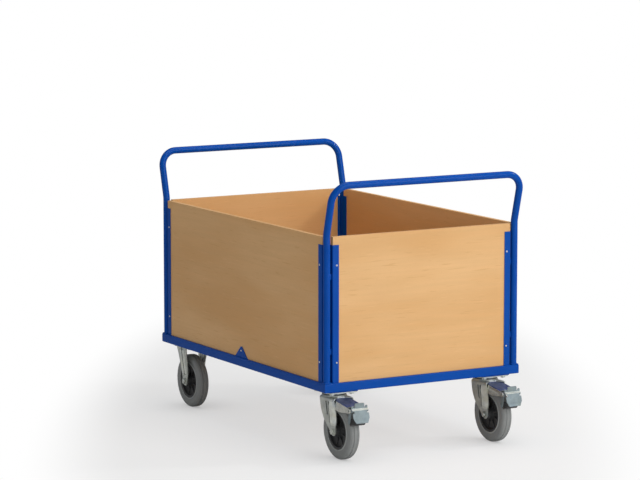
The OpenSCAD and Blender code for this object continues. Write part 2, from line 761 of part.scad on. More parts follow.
front_rail();
rear_rail();
left_rail();
right_rail();
deck_bearers();
deck_board();
deck_screws();
castor_mount_plates();
front_hoop();
rear_hoop();
hoop_foot_plates();
end_channels();
side_channels();
channel_ties();
front_panel();
rear_panel();
left_panel();
right_panel();
side_brackets();
panel_screws();
castor_bolts();
swivel_plates();
swivel_seals();
swivel_balls();
kingpins();
kingpin_nuts();
fixed_castor_brackets();
rear_axle_bolts();
rear_axle_nuts();
rear_axle_sleeves();
fork(left);  // left_fork
brake_bracket(left);  // left_brake_bracket
pedal_pin(left);  // left_pedal_pin
at_front_axle(left) axle_bolt(left);  // left_axle_bolt
at_front_axle(left) axle_nut(left);  // left_axle_nut
at_front_axle(left) axle_sleeve();  // left_axle_sleeve
brake_pedal(left);  // left_brake_pedal
brake_pad(left);  // left_brake_pad
fork(right);  // right_fork
brake_bracket(right);  // right_brake_bracket
pedal_pin(right);  // right_pedal_pin
at_front_axle(right) axle_bolt(right);  // right_axle_bolt
at_front_axle(right) axle_nut(right);  // right_axle_nut
at_front_axle(right) axle_sleeve();  // right_axle_sleeve
brake_pedal(right);  // right_brake_pedal
brake_pad(right);  // right_brake_pad
at_front_axle(left) rim();  // front_left_rim
at_front_axle(left) tyre();  // front_left_tyre
at_front_axle(left) bearing();  // front_left_bearing
at_front_axle(right) rim();  // front_right_rim
at_front_axle(right) tyre();  // front_right_tyre
at_front_axle(right) bearing();  // front_right_bearing
at_rear_axle(left) rim();  // rear_left_rim
at_rear_axle(left) tyre();  // rear_left_tyre
at_rear_axle(left) bearing();  // rear_left_bearing
at_rear_axle(right) rim();  // rear_right_rim
at_rear_axle(right) tyre();  // rear_right_tyre
at_rear_axle(right) bearing();  // rear_right_bearing
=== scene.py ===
"""Finished looks of a four-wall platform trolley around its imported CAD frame.

The steel platform, the bent tube push bars, the corner channels, the beech boards,
the castors and their brakes are modelled here in metres, in the frame's own axes:
X across the trolley, Y from the swivel castors to the fixed ones, Z up.
"""

import json
import logging
import math
from collections.abc import Callable, Iterable, Sequence
from dataclasses import dataclass
from enum import Enum

import bmesh
import bpy
from mathutils import Matrix, Vector


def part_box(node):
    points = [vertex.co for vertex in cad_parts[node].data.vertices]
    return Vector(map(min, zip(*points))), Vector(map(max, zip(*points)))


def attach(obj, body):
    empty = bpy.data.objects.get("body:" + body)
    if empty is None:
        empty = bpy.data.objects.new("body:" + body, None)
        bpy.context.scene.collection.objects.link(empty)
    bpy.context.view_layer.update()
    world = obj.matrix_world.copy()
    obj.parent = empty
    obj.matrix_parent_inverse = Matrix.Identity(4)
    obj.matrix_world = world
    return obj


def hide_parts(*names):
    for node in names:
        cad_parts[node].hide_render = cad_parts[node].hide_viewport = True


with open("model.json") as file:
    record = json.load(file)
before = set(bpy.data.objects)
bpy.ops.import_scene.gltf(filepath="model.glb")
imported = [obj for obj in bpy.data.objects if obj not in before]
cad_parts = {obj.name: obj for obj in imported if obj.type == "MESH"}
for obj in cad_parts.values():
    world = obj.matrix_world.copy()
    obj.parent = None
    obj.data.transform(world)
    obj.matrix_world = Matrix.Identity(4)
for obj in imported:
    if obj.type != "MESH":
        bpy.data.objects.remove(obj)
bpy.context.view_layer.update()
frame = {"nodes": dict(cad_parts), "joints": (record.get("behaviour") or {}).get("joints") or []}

log = logging.getLogger("trolley")
MM = 0.001
# Points nearer to each other than this are one point
TOUCH = 1e-6
# Edges of pressed sheet past this angle, in degrees, are rounded
SHEET_EDGE = 32.0
Point = tuple[float, float]

# Stands a section drawn in the XY plane up, so that it runs along X: x to Y, y to Z
SECTION_TO_X = Matrix(((0, 0, 1, 0), (1, 0, 0, 0), (0, 1, 0, 0), (0, 0, 0, 1)))
# Stands an outline drawn in the XY plane up: y to Z, with its depth along -Y
UPRIGHT = Matrix.Rotation(math.radians(90), 4, "X")


class Slot(Enum):
    """The record's material slots."""

    BLUE = "blue_frame"
    BEECH = "beech_board"
    ZINC = "zinc_steel"
    PLASTIC = "black_plastic"
    TYRE = "grey_tyre"


class Grain(Enum):
    """The axis that a board's grain runs along."""

    ACROSS = "X"
    ALONG = "Y"


class Side(Enum):
    """The left and right of the trolley, as the sign of X."""

    LEFT = -1
    RIGHT = 1

    @property
    def word(self) -> str:
        """The side's name in the frame's node names."""
        return self.name.lower()


# ---- Shader expressions ------------------------------------------------------


class Signal:
    """A shader socket that can stand in an expression on values."""

    def __init__(self, nodes: "Nodes", socket: bpy.types.NodeSocket) -> None:
        """Keeps the socket and the node tree that it is in."""
        self.nodes = nodes
        self.socket = socket

    def __add__(self, other: "Signal | float") -> "Signal":
        """Sum."""
        return self.nodes.math("ADD", self, other)

    def __sub__(self, other: "Signal | float") -> "Signal":
        """Difference."""
        return self.nodes.math("SUBTRACT", self, other)

    def __rsub__(self, other: float) -> "Signal":
        """Difference from a number."""
        return self.nodes.math("SUBTRACT", other, self)

    def __mul__(self, other: "Signal | float") -> "Signal":
        """Product."""
        return self.nodes.math("MULTIPLY", self, other)

    def __truediv__(self, other: "Signal | float") -> "Signal":
        """Quotient."""
        return self.nodes.math("DIVIDE", self, other)

    __radd__ = __add__
    __rmul__ = __mul__

    def sine(self) -> "Signal":
        """Sine of the value in radians."""
        return self.nodes.math("SINE", self)

    def ramp(self, low: float, high: float) -> "Signal":
        """A smooth step over the value.

        Args:
            low: the value that gives 0.
            high: the value that gives 1.

        Returns:
            The step.
        """
        settings = {"interpolation_type": "SMOOTHSTEP"}
        node = self.nodes.add("ShaderNodeMapRange", settings, {0: self, 1: low, 2: high})
        return Signal(self.nodes, node.outputs[0])


class Nodes:
    """The node tree of one material, with its Principled shader."""

    def __init__(self, name: str) -> None:
        """Makes the material and finds its shader.

        Args:
            name: the material's name.
        """
        self.material = bpy.data.materials.new(name)
        self.material.use_nodes = True
        self.tree = self.material.node_tree
        self.shader = self.tree.nodes["Principled BSDF"]

    def add(self, kind: str, settings: dict | None = None, inputs: dict | None = None) -> bpy.types.Node:
        """Adds a node.

        Args:
            kind: the node's type.
            settings: its attributes, set before its sockets.
            inputs: values or links for its sockets, by name or number.

        Returns:
            The node.
        """
        node = self.tree.nodes.new(kind)
        for key, value in (settings or {}).items():
            setattr(node, key, value)
        for key, value in (inputs or {}).items():
            self.feed(node.inputs[key], value)
        return node

    def feed(self, socket: bpy.types.NodeSocket, value: object) -> None:
        """Links a signal to a socket, or sets the socket to a plain value.

        Args:
            socket: the socket of a node.
            value: a signal, number, vector or colour.
        """
        if isinstance(value, Signal):
            self.tree.links.new(value.socket, socket)
        else:
            socket.default_value = value

    def math(self, operation: str, *values: "Signal | float") -> Signal:
        """One Math node on values or numbers."""
        node = self.add("ShaderNodeMath", {"operation": operation}, dict(enumerate(values)))
        return Signal(self, node.outputs[0])

    def mix(self, factor: "Signal | float", first: object, second: object) -> Signal:
        """A colour between two colours."""
        node = self.add("ShaderNodeMix", {"data_type": "RGBA"}, {0: factor, 6: first, 7: second})
        return Signal(self, node.outputs[2])

    def place(self, stretch: Sequence[float] = (1, 1, 1), offset: Sequence[float] = (0, 0, 0),
              turn: float = 0.0) -> Signal:
        """The object's own coordinates in metres.

        Args:
            stretch: the scale along X, Y and Z.
            offset: how far they are moved.
            turn: the turn about Z, in degrees.

        Returns:
            The coordinates.
        """
        source = self.add("ShaderNodeTexCoord")
        inputs = {"Vector": Signal(self, source.outputs["Object"]), "Scale": stretch,
                  "Rotation": (0, 0, math.radians(turn)), "Location": offset}
        return Signal(self, self.add("ShaderNodeMapping", None, inputs).outputs[0])

    def noise(self, where: Signal, scale: float, detail: float = 3, roughness: float = 0.5) -> Signal:
        """Fractal noise from 0 to 1."""
        inputs = {"Vector": where, "Scale": scale, "Detail": detail, "Roughness": roughness}
        return Signal(self, self.add("ShaderNodeTexNoise", None, inputs).outputs[0])

    def split(self, where: Signal) -> list[Signal]:
        """The X, Y and Z of a vector."""
        node = self.add("ShaderNodeSeparateXYZ", None, {0: where})
        return [Signal(self, output) for output in node.outputs]

    def bump(self, height: Signal, strength: float, distance: float) -> None:
        """Raises the surface through the shader's Normal.

        Args:
            height: the signal that raises it.
            strength: how much of the effect is used.
            distance: the height for a signal of 1.
        """
        inputs = {"Strength": strength, "Distance": distance, "Height": height}
        node = self.add("ShaderNodeBump", None, inputs)
        self.set(Normal=Signal(self, node.outputs[0]))

    def set(self, **sockets: object) -> None:
        """Sets or links the shader's sockets; an underscore stands for a space."""
        for name, value in sockets.items():
            self.feed(self.shader.inputs[name.replace("_", " ")], value)


def opaque(colour: Sequence[float], share: float = 1.0) -> tuple[float, ...]:
    """A colour with alpha, made lighter or darker by a share."""
    return toned(colour, share, share, share)


def toned(colour: Sequence[float], red: float, green: float, blue: float) -> tuple[float, ...]:
    """A colour with alpha, each of its channels scaled."""
    return (colour[0] * red, colour[1] * green, colour[2] * blue, 1.0)


# ---- Finishes ----------------------------------------------------------------


@dataclass(frozen=True)
class PowderCoat:
    """Glossy blue powder coat with a fine orange peel."""

    slot: Slot = Slot.BLUE
    colour: tuple[float, float, float] = (0.0, 0.065, 0.360)
    gloss: float = 0.30
    shine: float = 0.04
    lacquer: float = 0.16
    peel_pitch: float = 1.6 * MM
    peel_depth: float = 0.02 * MM

    def make(self) -> bpy.types.Material:
        """Builds the material.

        Returns:
            The material.
        """
        nodes = Nodes("blue_powder_coat")
        where = nodes.place()
        drift = nodes.noise(where, 5.0, 2)
        peel = nodes.noise(where, 1 / self.peel_pitch, 2)
        specks = nodes.noise(where, 3 / self.peel_pitch, 1).ramp(0.70, 0.78)
        deep, light = opaque(self.colour, 0.88), opaque(self.colour, 1.10)
        coat = nodes.mix(drift, deep, light)
        nodes.set(Base_Color=nodes.mix(specks * 0.25, coat, opaque((0.02, 0.12, 0.42))))
        nodes.set(Roughness=self.gloss + 0.10 * drift + 0.06 * peel, Specular_IOR_Level=self.shine)
        nodes.set(Coat_Weight=self.lacquer, Coat_Roughness=0.06)
        nodes.bump(peel, 0.5, self.peel_depth)
        return nodes.material


@dataclass(frozen=True)
class BeechFacing:
    """Matt-lacquered beech decor: soft bands, fine streaks and short flecks along the grain."""

    grain: Grain
    slot: Slot = Slot.BEECH
    colour: tuple[float, float, float] = (0.740, 0.440, 0.190)
    tone: float = 1.0
    cloud_length: float = 700 * MM
    cloud_width: float = 162 * MM
    band_length: float = 1400 * MM
    band_width: float = 90 * MM
    band_rings: float = 46.0
    streak_length: float = 260 * MM
    streak_width: float = 7 * MM
    pore_width: float = 0.9 * MM
    pore_length: float = 6 * MM
    fleck_width: float = 4.6 * MM
    fleck_length: float = 75 * MM

    def stretched(self, nodes: Nodes, along: float, across: float, offset: float = 0.0) -> Signal:
        """Coordinates for a pattern that is drawn out along the grain.

        Args:
            nodes: the material's nodes.
            along: the pattern's length along the grain.
            across: its width across the grain.
            offset: a shift that keeps one pattern apart from another.

        Returns:
            The coordinates.
        """
        scale = [1 / across] * 3
        scale["XY".index(self.grain.value)] = 1 / along
        return nodes.place(scale, (offset, offset, offset))

    def make(self) -> bpy.types.Material:
        """Builds the material.

        Returns:
            The material.
        """
        nodes = Nodes(f"beech_{self.grain.name.lower()}_{round(self.tone * 100)}")
        clouds = nodes.noise(self.stretched(nodes, self.cloud_length, self.cloud_width, 3.1), 1.0, 2)
        bands = nodes.noise(self.stretched(nodes, self.band_length, self.band_width, 7.7), 1.0, 3)
        rings = (bands * self.band_rings).sine() * 0.5 + 0.5
        streaks = nodes.noise(self.stretched(nodes, self.streak_length, self.streak_width), 1.0, 4, 0.6)
        pits = nodes.noise(self.stretched(nodes, self.pore_length, self.pore_width, 1.7), 1.0, 1)
        pores = pits.ramp(0.62, 0.72)
        marks = nodes.noise(self.stretched(nodes, self.fleck_length, self.fleck_width, 5.3), 1.0, 1)
        flecks, lights = marks.ramp(0.64, 0.76), (1.0 - marks).ramp(0.64, 0.78)
        base = [channel * self.tone for channel in self.colour]
        warm, pale = toned(base, 0.93, 0.86, 0.76), toned(base, 1.05, 1.08, 1.14)
        board = nodes.mix(clouds.ramp(0.30, 0.72), warm, pale)
        board = nodes.mix(rings * 0.18, board, opaque(base, 0.86))
        board = nodes.mix(streaks.ramp(0.35, 0.75) * 0.28, board, opaque(base, 0.90))
        board = nodes.mix(lights * 0.42, board, toned(base, 1.08, 1.12, 1.20))
        board = nodes.mix(flecks * 0.55, board, toned(base, 0.84, 0.76, 0.66))
        board = nodes.mix(pores * 0.25, board, toned(base, 0.72, 0.58, 0.46))
        nodes.set(Base_Color=board, Roughness=0.44 + 0.10 * streaks + 0.08 * flecks, Specular_IOR_Level=0.3)
        nodes.bump(streaks * 0.6 - pores, 0.35, 0.05 * MM)
        return nodes.material


@dataclass(frozen=True)
class ZincPlate:
    """Pressed steel with a passivated zinc plating, cloudy and faintly tinted."""

    slot: Slot = Slot.ZINC
    colour: tuple[float, float, float] = (0.60, 0.63, 0.59)
    rough: float = 0.32
    metal: float = 0.72

    def make(self) -> bpy.types.Material:
        """Builds the material.

        Returns:
            The material.
        """
        nodes = Nodes(f"zinc_plated_steel_{round(self.rough * 100)}")
        where = nodes.place()
        clouds = nodes.noise(where, 38.0, 4, 0.6)
        tint = nodes.noise(nodes.place(offset=(4.0, 2.0, 1.0)), 24.0, 2)
        grain = nodes.noise(where, 1400.0, 2)
        plate = nodes.mix(clouds.ramp(0.32, 0.70), opaque(self.colour, 0.84), opaque(self.colour, 1.10))
        straw, steel_blue = toned(self.colour, 1.0, 0.94, 0.74), toned(self.colour, 0.72, 0.82, 1.05)
        plate = nodes.mix(tint.ramp(0.52, 0.72) * 0.35, plate, straw)
        plate = nodes.mix((1.0 - tint).ramp(0.56, 0.74) * 0.30, plate, steel_blue)
        nodes.set(Base_Color=plate, Metallic=self.metal)
        nodes.set(Roughness=self.rough + 0.12 * clouds + 0.04 * grain)
        nodes.bump(grain, 0.25, 0.02 * MM)
        return nodes.material


@dataclass(frozen=True)
class MouldedPlastic:
    """Black moulded plastic with a fine spark-eroded texture."""

    slot: Slot = Slot.PLASTIC
    colour: tuple[float, float, float] = (0.036, 0.037, 0.038)

    def make(self) -> bpy.types.Material:
        """Builds the material.

        Returns:
            The material.
        """
        nodes = Nodes("black_moulded_plastic")
        where = nodes.place()
        grain = nodes.noise(where, 1100.0, 3)
        dust = nodes.noise(where, 60.0, 3).ramp(0.45, 0.80)
        nodes.set(Base_Color=nodes.mix(dust * 0.35, opaque(self.colour), opaque(self.colour, 2.2)))
        nodes.set(Roughness=0.40 + 0.14 * grain + 0.10 * dust)
        nodes.bump(grain, 0.4, 0.03 * MM)
        return nodes.material


@dataclass(frozen=True)
class GreyRubber:
    """Grey tyre rubber, slightly bloomed, with a fine pitted skin."""

    slot: Slot = Slot.TYRE
    colour: tuple[float, float, float] = (0.250, 0.260, 0.256)

    def make(self) -> bpy.types.Material:
        """Builds the material.

        Returns:
            The material.
        """
        nodes = Nodes(f"grey_tyre_rubber_{round(self.colour[0] * 100)}")
        where = nodes.place()
        bloom = nodes.noise(where, 22.0, 4, 0.6)
        pits = nodes.noise(where, 900.0, 3)
        nodes.set(Base_Color=nodes.mix(bloom, opaque(self.colour, 0.84), opaque(self.colour, 1.14)))
        nodes.set(Roughness=0.46 + 0.16 * bloom + 0.06 * pits)
        nodes.bump(pits, 0.45, 0.04 * MM)
        return nodes.material


Finish = PowderCoat | BeechFacing | ZincPlate | MouldedPlastic | GreyRubber
BLUE = PowderCoat()
ZINC = ZincPlate()
BRIGHT_ZINC = ZincPlate(colour=(0.66, 0.67, 0.62), rough=0.14, metal=0.92)
# Darker blue-grey zinc for the pedal's faces other than its up-facing ones: painted shade that dims the
# flap's reflection of the key light
PEDAL_SHADE_ZINC = ZincPlate(colour=(0.23, 0.28, 0.295), rough=0.46, metal=0.55)
# Dark zinc for the floors of pressed grooves and the sheet between ribs: painted shade in these recesses
RECESS_SHADE_ZINC = ZincPlate(colour=(0.16, 0.18, 0.165), rough=0.50, metal=0.40)
# Pale zinc for the fork's turned front strip and the fixed legs' raised ribs: a painted highlight
RAISED_HIGHLIGHT_ZINC = ZincPlate(colour=(0.78, 0.81, 0.75), rough=0.30, metal=0.60)
SCREW_ZINC = ZincPlate(colour=(0.90, 0.92, 0.90), rough=0.20, metal=0.50)
# Blue-tinted zinc for the brake arm's up-facing faces: a painted reflection of the blue frame above them
BLUE_REFLECTION_ZINC = ZincPlate(colour=(0.17, 0.21, 0.46), rough=0.22, metal=0.85)
PLASTIC = MouldedPlastic()
RUBBER = GreyRubber()
# Lighter rubber for the tyre's bead line beside the rim: a painted highlight along that edge
BEAD_HIGHLIGHT_RUBBER = GreyRubber(colour=(0.38, 0.40, 0.39))
BEECH_ACROSS = BeechFacing(Grain.ACROSS)
BEECH_ALONG = BeechFacing(Grain.ALONG)
LIPPING_ACROSS = BeechFacing(Grain.ACROSS, tone=1.12)
LIPPING_ALONG = BeechFacing(Grain.ALONG, tone=1.12)
_made: dict[Finish, bpy.types.Material] = {}


def material_of(finish: Finish) -> bpy.types.Material:
    """The finish's material, made once and shared.

    Args:
        finish: the finish.

    Returns:
        Its material.
    """
    if finish not in _made:
        _made[finish] = finish.make()
    return _made[finish]


# ---- Shapes ------------------------------------------------------------------


def arc(centre: Point, radius: Point, start: float, end: float, steps: int) -> list[Point]:
    """Points along an elliptical arc.

    Args:
        centre: the arc's centre.
        radius: its half-axes.
        start: the first angle, in degrees.
        end: the last angle, in degrees.
        steps: how many chords it has.

    Returns:
        The points, both ends included.
    """
    angles = [math.radians(start + (end - start) * i / steps) for i in range(steps + 1)]
    return [(centre[0] + radius[0] * math.cos(a), centre[1] + radius[1] * math.sin(a)) for a in angles]


def smooth_link(first: Point, first_r: float, second: Point, second_r: float) -> list[Point]:
    """The outline of two round ends joined by their common tangents.

    Args:
        first: the first end's centre.
        first_r: its radius.
        second: the second end's centre.
        second_r: its radius.

    Returns:
        The outline's points.
    """
    step = Vector(second) - Vector(first)
    along = math.degrees(math.atan2(step.y, step.x))
    lean = math.degrees(math.acos((first_r - second_r) / step.length))
    far = arc(second, (second_r, second_r), along - lean, along + lean, 8)
    near = arc(first, (first_r, first_r), along + lean, along + 360 - lean, 12)
    return far + near


class FoldLine:
    """The end view of a bent sheet: straight stretches joined by round bends."""

    def __init__(self, corners: Sequence[Point], radius: float, steps: int = 5) -> None:
        """Works out the stretches.

        Args:
            corners: the corners of the sheet's outer face.
            radius: the bend radius of that face.
            steps: how many facets a bend has.
        """
        points = [Vector(corner) for corner in corners]
        self.stretches: list[tuple[float, float, Vector, Vector, float]] = []
        self.cuts: list[float] = []
        self.steps = steps
        self.total = 0.0
        start = points[0]
        for before, corner, after in zip(points, points[1:], points[2:]):
            into, out = (corner - before).normalized(), (after - corner).normalized()
            turn = math.atan2(into.x * out.y - into.y * out.x, into.dot(out))
            trim = radius * math.tan(abs(turn) / 2)
            self.run(start, into, (corner - into * trim - start).length, 0.0)
            self.cuts += [self.total + radius * abs(turn) * i / steps for i in range(steps + 1)]
            self.run(corner - into * trim, into, radius * abs(turn), turn)
            start = corner + out * trim
        last = points[-1] - start
        self.run(start, last.normalized(), last.length, 0.0)

    def run(self, start: Vector, heading: Vector, length: float, turn: float) -> None:
        """Adds one straight stretch, or one bend where it turns."""
        self.stretches.append((self.total, length, start, heading, turn))
        self.total += length

    @property
    def first_bend_end(self) -> float:
        """The length at which the first bend ends."""
        return self.cuts[self.steps]

    def at(self, length: float, lift: float = 0.0) -> Vector:
        """A point on or beside the sheet.

        Args:
            length: how far along the sheet it is.
            lift: how far it stands off the sheet, to the left.

        Returns:
            The point.
        """
        begin, run, start, heading, turn = self.stretches[0]
        for stretch in self.stretches:
            if length >= stretch[0] - 1e-9:
                begin, run, start, heading, turn = stretch
        part = length - begin
        left = Vector((-heading.y, heading.x))
        if not turn:
            return start + heading * part + left * lift
        angle = turn * part / run
        inward = left * math.copysign(1.0, turn)
        centre = start + inward * run / abs(turn)
        spoke = Matrix.Rotation(angle, 2) @ (start - centre)
        return centre + spoke + Matrix.Rotation(angle, 2) @ left * lift

    def reach(self, axis: int, value: float, low: float = 0.0) -> float:
        """The length along the sheet at which one coordinate comes to a value.

        Args:
            axis: which coordinate.
            value: the value.
            low: the length past which it is looked for.

        Returns:
            The length.
        """
        high = self.total
        rising = self.at(high)[axis] > self.at(low)[axis]
        for _ in range(40):
            middle = (low + high) / 2
            if (self.at(middle)[axis] < value) == rising:
                low = middle
            else:
                high = middle
        return (low + high) / 2


def verts_in(geometry: Iterable[object]) -> list[bmesh.types.BMVert]:
    """The points among some mesh elements."""
    return [item for item in geometry if isinstance(item, bmesh.types.BMVert)]


def edges_between(geometry: Iterable[object], verts: list[bmesh.types.BMVert]) -> list[bmesh.types.BMEdge]:
    """The edges among some mesh elements that join two of the points."""
    edges = [item for item in geometry if isinstance(item, bmesh.types.BMEdge)]
    return [edge for edge in edges if edge.verts[0] in verts and edge.verts[1] in verts]


class Shape:
    """A mesh under construction, worked with bmesh operators."""

    def __init__(self) -> None:
        """Starts empty."""
        self.bm = bmesh.new()

    @classmethod
    def block(cls, size: Sequence[float], centre: Sequence[float]) -> "Shape":
        """A rectangular block.

        Args:
            size: the lengths of its sides.
            centre: its middle.

        Returns:
            The block.
        """
        shape = cls()
        bmesh.ops.create_cube(shape.bm, size=1.0)
        return shape.apply(Matrix.LocRotScale(Vector(centre), None, Vector(size)))

    @classmethod
    def face(cls, points: Sequence[Point], rounding: float = 0.0, steps: int = 4) -> "Shape":
        """A flat outline in the XY plane as one face.

        Args:
            points: its corners.
            rounding: the radius of the corners.
            steps: how many facets a corner has.

        Returns:
            The face.
        """
        shape = cls()
        corners = [shape.bm.verts.new((x, y, 0.0)) for x, y in points]
        shape.bm.faces.new(corners)
        if rounding:
            shape.round_corners(corners, rounding, steps)
        return shape

    @classmethod
    def rectangle(cls, low: Point, high: Point, rounding: float = 0.0, steps: int = 4) -> "Shape":
        """A flat rectangle in the XY plane, its corners rounded."""
        return cls.face([low, (high[0], low[1]), high, (low[0], high[1])], rounding, steps)

    @classmethod
    def wire(cls, points: Sequence[Point], rounding: float = 0.0, closed: bool = False) -> "Shape":
        """A line of edges in the XY plane.

        Args:
            points: its corners.
            rounding: the radius of the corners.
            closed: whether it closes on itself.

        Returns:
            The line.
        """
        shape = cls()
        verts = [shape.bm.verts.new((x, y, 0.0)) for x, y in points]
        for first, second in zip(verts, verts[1:]):
            shape.bm.edges.new((first, second))
        if closed:
            shape.bm.edges.new((verts[-1], verts[0]))
        if rounding:
            shape.round_corners(verts if closed else verts[1:-1], rounding, 3)
        return shape

    @classmethod
    def lathe(cls, profile: Sequence[Point], steps: int = 64, rounding: float = 0.0,
              ring: bool = True) -> "Shape":
        """A turned part about Z.

        Args:
            profile: radius and height of each corner of the section.
            steps: how many sides the turned part has.
            rounding: the rounding of the section's corners.
            ring: whether the section closes on itself, away from the axis.

        Returns:
            The turned shape.
        """
        shape = cls.wire(profile, rounding, ring)
        bmesh.ops.rotate(shape.bm, verts=shape.bm.verts[:], matrix=UPRIGHT.to_3x3())
        geometry = shape.bm.verts[:] + shape.bm.edges[:]
        bmesh.ops.spin(shape.bm, geom=geometry, cent=(0, 0, 0), axis=(0, 0, 1), dvec=(0, 0, 0),
                       angle=math.tau, steps=steps, use_merge=True, use_duplicate=False)
        return shape.weld().outward()

    @classmethod
    def bent_sheet(cls, outline: Sequence[Point], fold: FoldLine,
                   place: Callable[[float, float, float], Vector], thickness: float, inside: Vector,
                   presses: Sequence["Press"] = (), creases: Sequence[float] = (),
                   stations: Sequence[float] = (), mirrored: bool = True) -> "Shape":
        """A sheet cut to an outline and bent along a fold line.

        Args:
            outline: points of the flat sheet, as place across and length along the fold line.
            fold: the bends of the outer face.
            place: turns the place across and the fold line's point into a point in space.
            thickness: the sheet's thickness, added on the inner side.
            inside: a point that the sheet bends around, at rest in the same space.
            presses: ribs and grooves that are pressed into it.
            creases: places across at which it also bends.
            stations: further lengths at which it is divided.
            mirrored: whether the sheet is the half of a whole about X = 0.

        Returns:
            The bent sheet.
        """
        shape = cls.face(outline)
        for length in (*fold.cuts, *stations):
            shape.cut((0, length, 0), (0, 1, 0))
        for across in creases:
            shape.cut((across, 0, 0), (1, 0, 0))
        for press in presses:
            press.stamp(shape)
        for vert in shape.bm.verts:
            point = fold.at(vert.co.y, vert.co.z)
            vert.co = place(vert.co.x, point.x, point.y)
        if mirrored:
            shape.mirror_x()
        return shape.solidify(thickness, inside)

    def solidify(self, thickness: float, inside: Vector) -> "Shape":
        """Gives an open sheet its thickness.

        Args:
            thickness: the thickness.
            inside: a point that the sheet bends around, on the side that thickens.

        Returns:
            The shape itself.
        """
        self.outward()
        away = sum((f.calc_center_median() - inside).dot(f.normal) * f.calc_area() for f in self.bm.faces)
        if away < 0:
            bmesh.ops.reverse_faces(self.bm, faces=self.bm.faces[:])
        bmesh.ops.solidify(self.bm, geom=self.bm.faces[:], thickness=thickness)
        return self

    def round_corners(self, verts: Sequence[bmesh.types.BMVert], radius: float, steps: int) -> None:
        """Rounds corners of a flat face or a wire."""
        bmesh.ops.bevel(self.bm, geom=verts, offset=radius, offset_type="OFFSET", segments=steps,
                        profile=0.5, affect="VERTICES", material=-1, clamp_overlap=True)

    def cut(self, point: Sequence[float], normal: Sequence[float]) -> "Shape":
        """Divides the faces along a plane.

        Args:
            point: a point of the plane.
            normal: the plane's normal.

        Returns:
            The shape itself.
        """
        everything = self.bm.verts[:] + self.bm.edges[:] + self.bm.faces[:]
        bmesh.ops.bisect_plane(self.bm, geom=everything, dist=TOUCH, plane_co=point, plane_no=normal)
        return self

    def thicken(self, depth: float) -> "Shape":
        """Gives flat faces in the XY plane a depth along Z.

        Args:
            depth: the depth.

        Returns:
            The shape itself.
        """
        made = bmesh.ops.extrude_face_region(self.bm, geom=self.bm.faces[:])["geom"]
        bmesh.ops.translate(self.bm, verts=verts_in(made), vec=(0, 0, depth))
        return self.outward()

    def hollow(self, wall: float) -> "Shape":
        """Turns a flat face into a frame.

        Args:
            wall: the frame's width.

        Returns:
            The shape itself.
        """
        inner = self.bm.faces[:]
        bmesh.ops.inset_region(self.bm, faces=inner, thickness=wall, use_boundary=True, use_even_offset=True)
        bmesh.ops.delete(self.bm, geom=inner, context="FACES")
        return self

    def soften(self, width: float, segments: int = 2, angle: float = 30.0) -> "Shape":
        """Rounds the sharp edges.

        Args:
            width: the width of the rounding.
            segments: how many facets it has.
            angle: the angle between two faces, in degrees, past which an edge is sharp.

        Returns:
            The shape itself.
        """
        limit = math.radians(angle)
        sharp = [e for e in self.bm.edges if e.is_manifold and e.calc_face_angle(0.0) > limit]
        bmesh.ops.bevel(self.bm, geom=sharp, offset=width, offset_type="OFFSET", segments=segments,
                        profile=0.5, affect="EDGES", material=-1, clamp_overlap=True)
        return self

    def apply(self, matrix: Matrix) -> "Shape":
        """Moves, turns or scales the whole shape."""
        bmesh.ops.transform(self.bm, matrix=matrix, verts=self.bm.verts[:])
        return self

    def shift(self, x: float = 0.0, y: float = 0.0, z: float = 0.0) -> "Shape":
        """Moves the whole shape."""
        return self.apply(Matrix.Translation((x, y, z)))

    def mirror_x(self) -> "Shape":
        """Adds the mirror image about X = 0 and joins the two along it.

        Returns:
            The shape itself.
        """
        everything = self.bm.verts[:] + self.bm.edges[:] + self.bm.faces[:]
        bmesh.ops.mirror(self.bm, geom=everything, matrix=Matrix.Identity(4), merge_dist=TOUCH, axis="X")
        return self.weld().outward()

    def weld(self) -> "Shape":
        """Merges points that coincide."""
        bmesh.ops.remove_doubles(self.bm, verts=self.bm.verts[:], dist=TOUCH)
        return self

    def outward(self) -> "Shape":
        """Turns the faces of a closed shape outwards."""
        bmesh.ops.recalc_face_normals(self.bm, faces=self.bm.faces[:])
        return self

    def add(self, other: "Shape", places: Iterable[Matrix] = (Matrix.Identity(4),)) -> "Shape":
        """Adds copies of another shape.

        Args:
            other: the shape to copy.
            places: where each copy goes; a mirroring place turns the copy's faces back outwards.

        Returns:
            The shape itself.
        """
        for place in places:
            mesh = bpy.data.meshes.new("copy")
            other.bm.to_mesh(mesh)
            mesh.transform(place)
            if place.determinant() < 0:
                mesh.flip_normals()
            self.bm.from_mesh(mesh)
            bpy.data.meshes.remove(mesh)
        return self

    def copies(self, places: Iterable[Matrix]) -> "Shape":
        """A new shape that holds this one at each place."""
        return Shape().add(self, places)

    def piece(self, name: str, body: str, finishes: Sequence[Finish], nodes: Sequence[str] = (),
              sharp: float = 40.0) -> bpy.types.Object:
        """Makes the shape a finished piece.

        Args:
            name: the piece's name.
            body: the CAD body that it rides on.
            finishes: its finishes, by the faces' material numbers.
            nodes: the CAD nodes that it stands for.
            sharp: edges past this angle, in degrees, stay sharp.

        Returns:
            The piece's object, at the origin.
        """
        mesh = bpy.data.meshes.new(name)
        self.bm.to_mesh(mesh)
        self.bm.free()
        mesh.polygons.foreach_set("use_smooth", [True] * len(mesh.polygons))
        mesh.set_sharp_from_angle(angle=math.radians(sharp))
        for finish in finishes:
            mesh.materials.append(material_of(finish))
        piece = bpy.data.objects.new(name, mesh)
        bpy.context.scene.collection.objects.link(piece)
        weighted = piece.modifiers.new("weighted_normals", "WEIGHTED_NORMAL")
        weighted.keep_sharp = True
        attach(piece, body)
        if nodes:
            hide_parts(*nodes)
        log.info("%s: %d faces on %s", name, len(mesh.polygons), body)
        return piece


